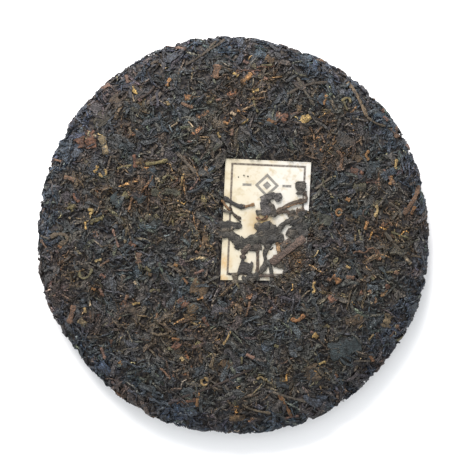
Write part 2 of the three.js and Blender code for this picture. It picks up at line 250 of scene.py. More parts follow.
along = np.empty(len(core.data.vertices), np.float32)
core.data.attributes["along"].data.foreach_get("value", along)
spun = vertices_of(core)
turn = np.arctan2(spun[:, 1], spun[:, 0])
crumple = sum(high * wave_field(spun, width, seed, CRUMPLE_WAVES) for high, width, seed in CRUMPLES)
seat = near_ticket(spun[:, 0], spun[:, 1], 1) * (spun[:, 2] > RIM_HEIGHT)
shaped = skin(along * np.cos(turn), along * np.sin(turn), 1, crumple - CORE_SINK - SEAT_DEPTH * seat)
move_vertices(core, shaped * MM)
print("core has", len(core.data.polygons), "faces")

# %% [markdown]
# Leaves come next. A few blanks are modelled one by one, each a closed spindle with its length along X: a
# ball is stretched, its middle is grooved or its edges are raised, and some are twisted. Real leaves break in
# many ways, so every copy later gets its own length, width, bend, arch and dents. A blank is one unit long
# and about one wide, so its numbers are shares of a leaf's size.


# %% Leaf blanks
ALONG_X = (0, math.pi / 2, 0)


def ball(name, segments, rings):
    start_clean()
    bpy.ops.mesh.primitive_uv_sphere_add(
        segments=segments, ring_count=rings, radius=0.5, rotation=ALONG_X)
    bpy.ops.object.transform_apply(location=True, rotation=True, scale=True)
    blank = bpy.context.object
    blank.name = name
    return blank


def pull(blank, chosen, move=(0, 0, 0), scale=(1, 1, 1)):
    """Moves and scales the vertices whose place passes the test chosen(x, y, z)."""
    bpy.ops.object.mode_set(mode="EDIT")
    bpy.ops.mesh.select_all(action="DESELECT")
    bpy.ops.object.mode_set(mode="OBJECT")
    for vertex in blank.data.vertices:
        vertex.select = bool(chosen(*vertex.co))
    bpy.ops.object.mode_set(mode="EDIT")
    bpy.ops.transform.resize(value=scale, center_override=(0, 0, 0))
    bpy.ops.transform.translate(value=move)
    bpy.ops.object.mode_set(mode="OBJECT")


def twist(blank, angle):
    modifier = blank.modifiers.new("twist", "SIMPLE_DEFORM")
    modifier.deform_method = "TWIST"
    modifier.deform_axis = "X"
    modifier.angle = math.radians(angle)
    bpy.ops.object.modifier_apply(modifier=modifier.name)


def shape_of(blank):
    """Vertices, triangles and top flags of a finished blank, which is then removed."""
    bpy.ops.object.mode_set(mode="EDIT")
    bpy.ops.mesh.select_all(action="SELECT")
    bpy.ops.mesh.quads_convert_to_tris()
    bpy.ops.object.mode_set(mode="OBJECT")
    points = vertices_of(blank)
    points[:, 0] /= np.ptp(points[:, 0])
    triangles = np.array([tuple(p.vertices) for p in blank.data.polygons])
    top = np.array([p.normal.z > 0 for p in blank.data.polygons])
    bpy.data.objects.remove(blank)
    return points, triangles, top


def full_leaf(segments, rings):
    blank = ball("leaf", segments, rings)
    pull(blank, lambda x, y, z: abs(x) < 0.3, scale=(1.1, 1.05, 1))
    pull(blank, lambda x, y, z: 0.3 < abs(x) < 0.49, scale=(1.02, 1.5, 1.3))
    return blank


def grooved(segments=6, rings=6):
    blank = full_leaf(segments, rings)
    pull(blank, lambda x, y, z: abs(y) < 0.1 and z > 0.1, move=(0, 0, -0.42))
    return shape_of(blank)


def guttered(segments=6, rings=6):
    blank = full_leaf(segments, rings)
    pull(blank, lambda x, y, z: abs(y) > 0.25, move=(0, 0, 0.45), scale=(1, 0.8, 1))
    pull(blank, lambda x, y, z: abs(y) < 0.25 and z > 0, move=(0, 0, -0.3))
    return shape_of(blank)


def folded(segments=6, rings=6):
    blank = full_leaf(segments, rings)
    pull(blank, lambda x, y, z: y > 0.15, move=(0, -0.25, 0.5))
    return shape_of(blank)


def twisted(segments=6, rings=6, angle=130):
    blank = full_leaf(segments, rings)
    pull(blank, lambda x, y, z: True, scale=(1, 1, 0.8))
    twist(blank, angle)
    return shape_of(blank)


def plain(segments, rings):
    return shape_of(full_leaf(segments, rings))


BIG_LEAVES = [grooved(6, 7), guttered(6, 7), folded(6, 7), twisted(6, 7)]
WIDE_LEAVES = [grooved(), guttered(), folded(), twisted()]
SMALL_BITS = [grooved(6, 4), folded(6, 4), plain(5, 4), twisted(5, 4, 90)]
THIN_STRANDS = [plain(3, 7), twisted(3, 7, 160)]
CURLED_BUDS = [plain(5, 8), twisted(5, 8, 90)]
for group in (BIG_LEAVES, WIDE_LEAVES, SMALL_BITS, THIN_STRANDS, CURLED_BUDS):
    print("blanks of", [len(triangles) for _, triangles, _ in group], "triangles")


# %% [markdown]
# Twigs are bits of the leaf stalk: nearly even in thickness, cut square, with a knuckle where a leaf grew.
# The blank is a six-sided cylinder, cut into rings, with one ring swollen.


# %% Twig blank
def twig():
    start_clean()
    bpy.ops.mesh.primitive_cylinder_add(
        vertices=6, radius=0.5, depth=1, end_fill_type="TRIFAN", rotation=ALONG_X)
    blank = bpy.context.object
    bpy.ops.object.transform_apply(location=True, rotation=True, scale=True)
    bpy.ops.object.mode_set(mode="EDIT")
    for place in (-0.3, -0.1, 0.1, 0.3):
        bpy.ops.mesh.select_all(action="SELECT")
        bpy.ops.mesh.bisect(plane_co=(place, 0, 0), plane_no=(1, 0, 0))
    bpy.ops.object.mode_set(mode="OBJECT")
    pull(blank, lambda x, y, z: 0.05 < x < 0.15, scale=(1, 1.35, 1.3))
    pull(blank, lambda x, y, z: abs(x) > 0.45, scale=(1, 0.8, 0.8))
    return shape_of(blank)


TWIGS = [twig()]
print("twig blank of", len(TWIGS[0][1]), "triangles")

# %% [markdown]
# Colours are mixed from small palettes: black and brown leaves in about equal parts, some olive ones,
# few red-brown flakes and golden buds. Each entry is a screen colour and its share. A screen colour also
# holds the light that falls on the leaf, so TINT_DEPTH takes it down to the colour of the leaf alone.


# %% Palettes
def paint(red, green, blue):
    """A screen colour, 0 to 255, as the linear colour that a shader wants."""
    shares = np.array([red, green, blue]) / 255
    return np.where(shares <= 0.04045, shares / 12.92, ((shares + 0.055) / 1.055) ** 2.4)


BLACK_LEAF = [((63, 64, 62), 4), ((67, 67, 64), 4), ((66, 61, 61), 3), ((72, 69, 64), 3), ((58, 61, 63), 2)]
BROWN_LEAF = [((81, 74, 64), 4), ((75, 70, 63), 4), ((88, 80, 66), 2), ((83, 73, 63), 2), ((77, 71, 70), 1)]
OLIVE_LEAF = [((90, 88, 69), 3), ((102, 97, 75), 2), ((80, 82, 69), 2)]
RUST_FLAKE = [((124, 92, 68), 3), ((108, 82, 64), 3), ((136, 104, 72), 1), ((98, 78, 70), 2)]
BUD_GOLD = [((196, 164, 108), 3), ((172, 146, 100), 3), ((214, 186, 128), 1)]
TWIG_BARK = [
    ((120, 104, 82), 3), ((100, 85, 68), 3), ((142, 122, 92), 2), ((92, 74, 63), 2), ((158, 138, 104), 1),
]
TAN_STICK = [((150, 114, 86), 3), ((138, 106, 80), 2)]
PALE_STALK = [((128, 116, 98), 3), ((118, 106, 90), 2)]
PALE_CRUMB = [((150, 138, 112), 3), ((132, 120, 100), 3), ((176, 164, 136), 1)]
COVER_LEAF = [((64, 61, 55), 3), ((56, 54, 50), 2), ((72, 66, 58), 1)]
STEM_BROWN = [((82, 69, 57), 2), ((74, 62, 52), 2)]
ORANGE_STEM = [((122, 92, 62), 2), ((108, 82, 58), 1)]
STALK_BROWN = [((96, 79, 68), 1)]
HOOK_LEAF = [((76, 73, 71), 1)]
FOX_FLAKE = [((142, 98, 74), 2), ((128, 90, 68), 2)]
TAN_BROWN = [((120, 96, 66), 2), ((110, 90, 66), 2)]
ORANGE_BIT = [((190, 140, 86), 3), ((172, 122, 76), 2)]
PINK_BIT = [((160, 124, 104), 2), ((146, 112, 96), 2)]
OLIVE_GOLD = [((152, 138, 90), 2), ((136, 126, 88), 2)]
BRIGHT_BUD = [((224, 188, 118), 2), ((208, 172, 104), 2)]
PALE_BIT = [((212, 188, 152), 2), ((196, 172, 138), 1)]
SLATE_LEAF = [((68, 78, 84), 2), ((62, 74, 76), 2)]
BLACK_STRAND = [((62, 61, 60), 4), ((68, 66, 63), 4), ((64, 60, 59), 2), ((57, 58, 59), 2)]
BROWN_STRAND = [((80, 75, 67), 4), ((73, 70, 65), 4), ((90, 83, 70), 1), ((82, 74, 67), 1)]
TINT_DEPTH = 0.5
HUE_SPREAD = 0.012


def pick_colours(palette, count, rng, spread=0.05):
    """count tints of a palette; spread is how much lighter or darker one leaf is than the next."""
    shares = np.array([share for _, share in palette], float)
    tones = np.stack([paint(*tone) for tone, _ in palette]) * TINT_DEPTH
    chosen = tones[rng.choice(len(palette), count, p=shares / shares.sum())]
    brightness = np.exp(rng.normal(0, spread, (count, 1)))
    return chosen * brightness * np.exp(rng.normal(0, HUE_SPREAD, (count, 3)))


print("a black leaf's tint:", (paint(*BLACK_LEAF[0][0]) * TINT_DEPTH).round(4))

# %% [markdown]
# The ticket lies off centre and a few degrees askew. Leaves must not cover the part of the paper that shows,
# so its outline is needed before any leaf is laid. It is given by corners as seen from above.

# %% Where the paper shows
TICKET = {
    "top_left": (-3.7, 38.4), "top_right": (39.2, 36.4),
    "low_left": (-6.3, -22.5), "low_right": (36.0, -22.9),
}
PAPER_SHOWS = [
    (-3.7, 38.4), (39.2, 36.4), (37.9, 12.1), (31.9, 13.7), (35.4, 6.6), (36.9, 1.5), (36.8, -4.2),
    (33.0, -5.0), (23.2, -12.6), (25.6, -16.4), (24.0, -18.6), (19.7, -20.7), (18.7, -22.7), (-6.3, -22.5),
]
PAPER_BURIED = [
    (37.9, 12.1), (31.9, 13.7), (35.4, 6.6), (36.9, 1.5), (36.4, -3.5), (33.0, -5.0), (23.2, -12.6),
    (25.6, -16.4), (24.0, -18.6), (19.7, -20.7), (18.0, -24.4), (39.0, -25.0), (40.0, 12.0),
]
BURIED_BOX = (16, -26, 40, 14)
TRIES_EACH = 20


def inside(x, y, outline_points):
    """Whether each point lies in a closed outline, by counting the edges that a line to its right crosses."""
    hit = np.zeros(np.shape(x), bool)
    for (x0, y0), (x1, y1) in zip(outline_points, outline_points[1:] + outline_points[:1]):
        if y0 == y1:
            continue
        crosses = ((y0 > y) != (y1 > y)) & (x < (x1 - x0) * (y - y0) / (y1 - y0) + x0)
        hit ^= crosses
    return hit


def buried_places(count, rng):
    """Places on the buried part of the ticket, as distances along the section and angles."""
    low_x, low_y, high_x, high_y = BURIED_BOX
    x = rng.uniform(low_x, high_x, TRIES_EACH * count)
    y = rng.uniform(low_y, high_y, TRIES_EACH * count)
    chosen = np.flatnonzero(inside(x, y, PAPER_BURIED))[:count]
    return reach(np.hypot(x[chosen], y[chosen])), np.arctan2(y[chosen], x[chosen])


print("middle of the ticket shows:", inside(np.array([10.0]), np.array([30.0]), PAPER_SHOWS))

# %% [markdown]
# Leaves have to be spread and tinted before they are laid. Places come from a sequence that covers the skin
# evenly without rows. Broken bits gather in loose groups instead. Leaf also lies in patches of its own
# colour. Over these, light is painted in: the middle of the cake is made warmer and lighter as painted light
# where the top faces the light, and the rim cooler and paler as a painted sheen of the bright surround.


# %% Places and patches
SKIN_SHARE = np.cumsum(SECTION_R * np.gradient(SECTION_AT))
SKIN_SHARE = SKIN_SHARE / SKIN_SHARE[-1]
EVEN_STEPS = (0.7548776662466927, 0.5698402909980532)
PAST_RIM = 5
GROUP_WIDTH = 13.0
CHOSEN_FROM = 4


def even_places(count, rng):
    """Distances along the section and angles that cover the skin evenly without rows."""
    steps = np.arange(count)
    first = (rng.uniform() + steps * EVEN_STEPS[0]) % 1
    second = (rng.uniform() + steps * EVEN_STEPS[1]) % 1
    return np.interp(first, SKIN_SHARE, SECTION_AT), second * 2 * math.pi


def side_and_place(at, angle):
    """Side of the cake, x and y on it, for a distance along the whole section and an angle."""
    side = np.where(at < RIM_AT + PAST_RIM, 1, -1)
    along = np.where(side > 0, at, SECTION_LENGTH - at)
    return side, along * np.cos(angle), along * np.sin(angle)


def clustered_places(count, seed, tightness=1.6):
    """Even places thinned so that they gather in loose groups, as broken bits do."""
    rng = np.random.default_rng(seed)
    at, angle = even_places(CHOSEN_FROM * count, rng)
    side, x, y = side_and_place(at, angle)
    crowd = tightness * wave_field(skin(x, y, side, 0 * at, 0), GROUP_WIDTH, seed + 1)
    crowd = crowd + rng.normal(size=CHOSEN_FROM * count)
    chosen = np.argsort(-crowd)[:count]
    return at[chosen], angle[chosen]


# Strength, width and seed of the waves that make the patches.
WARM_WAVES = [(0.8, 7.0, 61), (0.75, 24.0, 62)]
TEAL_WAVES = [(0.8, 11.0, 65), (0.4, 30.0, 66)]
BRIGHT_WAVES = [(0.6, 5.0, 63), (0.6, 18.0, 64)]
WARM_PAINT = np.array([0.19, 0.015, -0.17])
TEAL_PAINT = np.array([-0.05, 0.035, 0.015])
WARM_LIMITS = (-2.4, 1.9)
TEAL_LIMITS = (-2.6, 1.6)
BRIGHT_LIMITS = (-2, 6)
COOLEST_INSIDE = -1.0
TEAL_STRENGTH = 0.7
BRIGHT_STRENGTH = 0.08
LEAST_TINT = 0.2
# Painted sheen: towards the rim the leaves are made cooler and paler, as the bright surround would shine on
# them.
RIM_SHEEN_FROM = 85
RIM_SHEEN_OVER = 9
RIM_SHEEN_COOLER = 1.9
RIM_SHEEN_BRIGHTER = 1.6
# Painted light: the middle of the top is made warmer and lighter, where it faces the light.
MIDDLE_LIGHT_WARM = 26
MIDDLE_LIGHT_WIDTH = 30
MIDDLE_LIGHT_BRIGHTER = 4.6


def patches_of(waves, points):
    return sum(strength * wave_field(points, width, seed) for strength, width, seed in waves)


def tone_and_light_of_place(points):
    """What the tint of a leaf is multiplied by at each place, painted light and painted sheen included."""
    radius = np.hypot(points[:, 0], points[:, 1])
    # Painted sheen makes the rim cooler and paler; painted light makes the middle warmer and lighter.
    rim = np.clip((radius - RIM_SHEEN_FROM) / RIM_SHEEN_OVER, 0, 1)
    warm = patches_of(WARM_WAVES, points) + np.exp(-((radius / MIDDLE_LIGHT_WARM) ** 2))
    warm = np.maximum(warm, COOLEST_INSIDE) - RIM_SHEEN_COOLER * rim
    teal = TEAL_STRENGTH * patches_of(TEAL_WAVES, points) - RIM_SHEEN_COOLER * rim
    middle = MIDDLE_LIGHT_BRIGHTER * np.exp(-((radius / MIDDLE_LIGHT_WIDTH) ** 2))
    bright = patches_of(BRIGHT_WAVES, points) + middle + RIM_SHEEN_BRIGHTER * rim
    warm_paint = np.clip(warm, *WARM_LIMITS)[:, None] * WARM_PAINT
    teal_paint = np.clip(teal, *TEAL_LIMITS)[:, None] * TEAL_PAINT
    light = np.exp(BRIGHT_STRENGTH * np.clip(bright, *BRIGHT_LIMITS))[:, None]
    return np.maximum(1 + warm_paint + teal_paint, LEAST_TINT) * light


print("tone in the middle and at the rim:", tone_and_light_of_place(np.array([[0, 0, 20], [98.0, 0, 9]])).round(2))

# %% [markdown]
# The map of a leaf: all copies of a kind share one UV map, cut into square cells, one for each copy. The top
# of a leaf fills the lower half of its cell and the underside the upper half, so that streaks follow it.


# %% One mesh from many leaves
PATCH_LENGTH = 0.9
PATCH_WIDTH = 0.4
PATCH_MIDDLE = [0.5, 0.25]
OTHER_HALF = 0.5


def patch_corners(blank, triangles, top, width=1):
    """UV corners of a leaf in its cell, for a blank that is width wide."""
    corner = blank[triangles][:, :, :2] * [PATCH_LENGTH, PATCH_WIDTH / width] + PATCH_MIDDLE
    return corner + np.where(top, 0, OTHER_HALF)[:, None, None] * [0, 1]


def patches_in_cells(numbers, corner, cells):
    cell = np.stack([numbers % cells, numbers // cells], axis=1)[:, None, None, :]
    return ((cell + corner[None]) / cells).reshape(-1, 2)


def joined_mesh(name, points, triangles, colours, patches, crisp=False):
    mesh = bpy.data.meshes.new(name)
    mesh.vertices.add(len(points))
    mesh.vertices.foreach_set("co", (points * MM).astype(np.float32).ravel())
    mesh.loops.add(triangles.size)
    mesh.loops.foreach_set("vertex_index", triangles.astype(np.int32).ravel())
    mesh.polygons.add(len(triangles))
    mesh.polygons.foreach_set("loop_start", np.arange(0, triangles.size, 3, dtype=np.int32))
    mesh.update(calc_edges=True)
    if crisp:
        flat_faces = mesh.attributes.new("sharp_face", "BOOLEAN", "FACE")
        flat_faces.data.foreach_set("value", np.ones(len(triangles), bool))
    tint = mesh.color_attributes.new("leaf_tint", "FLOAT_COLOR", "POINT")
    opaque = np.hstack([colours, np.ones((len(colours), 1))])
    tint.data.foreach_set("color", opaque.astype(np.float32).ravel())
    mesh.uv_layers.new(name="OFBake").data.foreach_set("uv", patches.astype(np.float32).ravel())
    piece = bpy.data.objects.new(name, mesh)
    bpy.context.collection.objects.link(piece)
    print(name, "has", len(triangles), "triangles")
    return piece


# %% [markdown]
# One function lays a whole kind of leaf. Its copies flow with their neighbours and run along the rim at the
# edge. Each gets its own size, bend, dents and tilt, is bent onto the skin, and is dropped where it would
# cover the paper. All that is left becomes one mesh with a colour for each leaf.


# %% Laying a kind of leaf
FLOW_TURN = 2.4
FLOW_WAVE = (17.0, 91)
RIM_RUN = 12
STRAY = 0.7
DENTS = 0.09
DENT_WAYS = [0.4, 1, 3.5]
S_BEND = 3.0
SHADE_SPREAD = 0.6
SHADE_LIMITS = (0.4, 1.8)


def headings(at, angle, spots, rng):
    """The way each leaf points: with the flow of its neighbours, and along the rim at the edge."""
    along_rim = near_rim(at, RIM_RUN)
    flow = FLOW_TURN * wave_field(spots, *FLOW_WAVE)
    return (1 - along_rim) * flow + along_rim * (angle + math.pi / 2) + rng.normal(0, STRAY, len(at))


def shaped_copies(blank, long, wide, high, rng, bow, arch, tilt):
    """Copies of a blank in millimetres, each dented, bent sideways, arched and tilted in its own way."""
    n = len(long)
    local = np.repeat(blank[None], n, axis=0) + rng.normal(0, DENTS, (n, len(blank), 3)) * DENT_WAYS
    share = local[:, :, 0]
    px = share * long
    hump = 0.25 - share**2
    sway = rng.normal(size=(n, 1)) + S_BEND * share * rng.normal(size=(n, 1))
    py = local[:, :, 1] * wide + bow * long * hump * sway
    pz = local[:, :, 2] * high
    pz = pz + arch * rng.normal(size=(n, 1)) * long * hump
    pz = pz + tilt * rng.normal(size=(n, 1)) * px + tilt * rng.normal(size=(n, 1)) * py
    return px, py, pz


def lay(name, blanks, count, seed, palette, length, width, thick, lift, arch=0.15, bow=0.25, tilt=0.07,
        spread=0.05, places=None):
    """Lays count leaves. length, width, thick and lift are ranges in millimetres."""
    rng = np.random.default_rng(seed)
    at, angle = even_places(count, rng) if places is None else places
    side, x, y = side_and_place(at, angle)
    spots = skin(x, y, side, 0 * x, 0)
    heading = headings(at, angle, spots, rng)
    long, wide, high, raised = (rng.uniform(*limits, count) for limits in (length, width, thick, lift))
    colours = pick_colours(palette, count, rng, spread) * tone_and_light_of_place(spots)
    kind = rng.integers(0, len(blanks), count)
    cells = math.ceil(math.sqrt(count))
    all_points, all_triangles, all_colours, all_patches, used = [], [], [], [], 0
    for number, (blank, triangles, top) in enumerate(blanks):
        mine = np.flatnonzero(kind == number)
        pick = mine[:, None]
        px, py, pz = shaped_copies(blank, long[pick], wide[pick], high[pick], rng, bow, arch, tilt)
        turn, mirror = heading[pick], side[pick]
        sx = x[pick] + px * np.cos(turn) - py * np.sin(turn) * mirror
        sy = y[pick] + px * np.sin(turn) + py * np.cos(turn) * mirror
        rise = pz + raised[pick]
        placed = skin(sx.ravel(), sy.ravel(), np.repeat(side[mine], len(blank)), rise.ravel())
        placed = placed.reshape(len(mine), -1, 3)
        above = placed[:, :, 2] > RIM_HEIGHT
        covers = (inside(placed[:, :, 0], placed[:, :, 1], PAPER_SHOWS) & above).any(axis=1)
        keep = np.flatnonzero(~covers)
        kept = mine[keep]
        base = used + np.arange(len(keep))[:, None, None] * len(blank)
        shade = 1 + SHADE_SPREAD * rng.normal(size=(len(keep), len(blank), 1))
        all_points.append(placed[keep].reshape(-1, 3))
        all_triangles.append((base + triangles[None]).reshape(-1, 3))
        all_colours.append((colours[kept][:, None] * np.clip(shade, *SHADE_LIMITS)).reshape(-1, 3))
        corner = patch_corners(blank, triangles, top, np.ptp(blank[:, 1]))
        all_patches.append(patches_in_cells(kept, corner, cells))
        used += len(keep) * len(blank)
    lists = (all_points, all_triangles, all_colours, all_patches)
    return joined_mesh(name, *(np.concatenate(parts) for parts in lists), crisp=True)


# %% [markdown]
# The heap, kind by kind. Large leaves make the bed, small bits and strands fill the gaps, and twigs, rusty
# flakes and buds lie among them, a little higher. Lengths, widths and thicknesses are those of real broken
# leaf. The last two kinds fill the place where leaves bury the ticket.

# %% Lay the heap
heap = [
    lay("black_leaves", BIG_LEAVES, 1400, 101, BLACK_LEAF, (5.0, 12.0), (1.2, 2.7), (0.6, 0.9), (-0.3, 0.3)),
    lay("brown_leaves", BIG_LEAVES, 1200, 102, BROWN_LEAF, (5.0, 11.0), (1.1, 2.3), (0.6, 0.9), (-0.3, 0.3)),
    lay("flat_leaves", BIG_LEAVES, 420, 113, BLACK_LEAF, (6.0, 11.0), (3.2, 5.5), (0.5, 0.8), (-0.3, 0.3),
        arch=0.1),
    lay("black_broken", WIDE_LEAVES, 1500, 110, BLACK_LEAF, (3.0, 7.0), (0.9, 1.9), (0.6, 1.0), (-0.3, 0.4),
        tilt=0.2),
    lay("brown_broken", WIDE_LEAVES, 1500, 111, BROWN_LEAF, (3.0, 7.0), (0.8, 1.7), (0.6, 1.0), (-0.3, 0.4),
        tilt=0.2),
    lay("olive_leaves", WIDE_LEAVES, 420, 103, OLIVE_LEAF, (3.5, 9.0), (0.9, 2.2), (0.5, 0.8), (-0.2, 0.4)),
    lay("black_bits", SMALL_BITS, 1900, 104, BLACK_LEAF, (1.2, 3.4), (0.4, 1.0), (0.5, 0.9), (0.0, 0.5),
        tilt=0.35, spread=0.34),
    lay("brown_bits", SMALL_BITS, 1900, 105, BROWN_LEAF, (1.2, 3.4), (0.4, 0.9), (0.5, 0.9), (0.0, 0.5),
        tilt=0.35, spread=0.34),
    lay("black_strands", THIN_STRANDS, 4100, 116, BLACK_STRAND, (3.0, 9.0), (0.4, 0.85), (0.5, 0.8),
        (-0.2, 0.4), bow=0.45, spread=0.42),
    lay("brown_strands", THIN_STRANDS, 4100, 106, BROWN_STRAND, (2.5, 8.0), (0.35, 0.8), (0.45, 0.8),
        (-0.2, 0.4), bow=0.5, spread=0.42),
    lay("rust_flakes", WIDE_LEAVES, 160, 107, RUST_FLAKE, (3.5, 8.0), (1.3, 3.0), (0.4, 0.7), (-0.1, 0.4),
        places=clustered_places(160, 707)),
    lay("pale_crumbs", SMALL_BITS, 270, 112, PALE_CRUMB, (0.9, 2.2), (0.4, 0.9), (0.4, 0.8), (0.1, 0.5),
        places=clustered_places(270, 717)),
    lay("buds", CURLED_BUDS, 90, 108, BUD_GOLD, (2.0, 6.0), (0.6, 1.2), (0.6, 1.0), (0.1, 0.5), bow=1.0,
        places=clustered_places(90, 727)),
    lay("twigs", TWIGS, 240, 109, TWIG_BARK, (4.0, 12.0), (0.6, 1.1), (0.6, 1.0), (0.0, 0.4), arch=0.04,
        bow=0.12, tilt=0.04, places=clustered_places(240, 737, 0.9)),
]
fill_rng = np.random.default_rng(77)
heap += [
    lay("black_fill", WIDE_LEAVES, 260, 120, BLACK_LEAF, (2.0, 4.5), (1.0, 2.4), (0.6, 1.0), (-0.5, 0.3),
        places=buried_places(260, fill_rng)),
    lay("brown_fill", WIDE_LEAVES, 240, 121, BROWN_LEAF, (2.0, 4.5), (0.9, 2.2), (0.6, 1.0), (-0.4, 0.4),
        places=buried_places(240, fill_rng)),
]
print("heap of", sum(len(piece.data.polygons) for piece in heap), "triangles")

# %% [markdown]
# The ticket is thin paper. A grid is added at its size, its corners are set, and each point is laid on the
# dome a little below the leaf tops, with slight waves. Solidify gives it the thickness of paper.

# %% Paper ticket
TICKET_SINK = 0.75
PAPER_THICK = 0.16
TICKET_CELLS = (44, 62)
WAVE_HEIGHT = 0.18
WAVE_ACROSS = 6
WAVE_UP = 9
WAVE_START = 0.7


def ticket_height(x, y):
    dome = np.interp(reach(np.hypot(x, y)), SECTION_AT, SECTION_Z)
    wave = WAVE_HEIGHT * np.sin(x / WAVE_ACROSS + WAVE_START) * np.cos(y / WAVE_UP)
    return dome - TICKET_SINK + wave


start_clean()
bpy.ops.mesh.primitive_grid_add(x_subdivisions=TICKET_CELLS[0], y_subdivisions=TICKET_CELLS[1], size=1)
ticket = bpy.context.object
ticket.name = "ticket_paper"
ticket.data.uv_layers[0].name = "OFBake"
flat = vertices_of(ticket)
u, v = flat[:, :1] + 0.5, flat[:, 1:2] + 0.5
corner = {name: np.array(place) for name, place in TICKET.items()}
low = corner["low_left"] + (corner["low_right"] - corner["low_left"]) * u
high = corner["top_left"] + (corner["top_right"] - corner["top_left"]) * u
plan = low + (high - low) * v
laid = np.column_stack([plan, ticket_height(plan[:, 0], plan[:, 1])])
move_vertices(ticket, laid * MM)
thicken = ticket.modifiers.new("thickness", "SOLIDIFY")
thicken.thickness = PAPER_THICK * MM
thicken.offset = -1
bpy.ops.object.modifier_apply(modifier=thicken.name)
print("ticket from", laid.min(axis=0).round(1), "to", laid.max(axis=0).round(1))

# %% [markdown]
# Single leaves and twigs lie over the paper and reach the heap beside it. Each follows its own path, so one
# fine blank is swept along a smoothed line instead of being scattered: its length follows the line, its
# width and thickness are given, and dents keep it from looking drawn.

# %% Leaves over the ticket
SWEEP_BLANK = twisted(12, 20, 0)
STEP_AHEAD = 0.3
SQUARE_ENDED = 3.5
SMOOTH_STEM = 0.35
# Height, width and seed of the waves on the outline and on the face of a swept leaf.
RAGGED_WAVES = [(0.1, 3.0, 31), (0.13, 1.1, 32)]
WRINKLE_WAVES = [(0.14, 3.0, 33), (0.14, 1.0, 34)]
FAR_APART = 900
LEAST_FULLNESS = 1e-3


def smooth_path(path, rounds=3, cut_off=0.25):
    """Cuts the corners of a path, round after round, and keeps its ends."""
    path = np.array(path, float)
    for _ in range(rounds):
        cut = np.empty((2 * len(path) - 2, 2))
        cut[0::2] = (1 - cut_off) * path[:-1] + cut_off * path[1:]
        cut[1::2] = cut_off * path[:-1] + (1 - cut_off) * path[1:]
        path = np.vstack([path[:1], cut, path[-1:]])
    return path


def point_on(path, run, at):
    return np.stack([np.interp(at, run, path[:, i]) for i in (0, 1)], axis=1)


def swept_leaf(path, width, thick, lift, rng, blunt, over_paper):
    """The sweep blank laid along a path seen from above; blunt is how square its ends are."""
    blank = SWEEP_BLANK[0]
    path = smooth_path(path)
    run = np.concatenate([[0], np.cumsum(np.hypot(*np.diff(path, axis=0).T))])
    share = blank[:, 0] + 0.5
    at = share * run[-1]
    x, y = point_on(path, run, at).T
    ahead = point_on(path, run, np.clip(at + STEP_AHEAD, 0, run[-1]))
    way = ahead - point_on(path, run, np.clip(at - STEP_AHEAD, 0, run[-1]))
    way /= np.linalg.norm(way, axis=1)[:, None]
    off_middle = 2 * share - 1
    full = np.maximum(np.sqrt(np.maximum(1 - off_middle**2, LEAST_FULLNESS)), LEAST_FULLNESS)
    swell = np.maximum(1 - np.abs(off_middle) ** blunt, 0.0) ** (1 / blunt) / full
    rough = SMOOTH_STEM if blunt > SQUARE_ENDED else 1.0
    middle = np.stack([x, y, 0 * x], 1) + rng.uniform(0, FAR_APART, 3)
    ragged = 1 + rough * patches_of(RAGGED_WAVES, middle)
    sideways = blank[:, 1] * width * swell * ragged
    x, y = x - way[:, 1] * sideways, y + way[:, 0] * sideways
    face = np.stack([x, y, 0 * x], 1) + rng.uniform(0, FAR_APART, 3)
    wrinkles = rough * patches_of(WRINKLE_WAVES, face)
    rise = lift + blank[:, 2] * thick * swell * ragged + wrinkles
    radius = np.maximum(np.hypot(x, y), SAME_POINT)
    flat = reach(radius / (1 + outline(np.arctan2(y, x)) / CAKE_RADIUS)) / radius
    return skin(x * flat, y * flat, 1, rise - TICKET_SINK * over_paper)


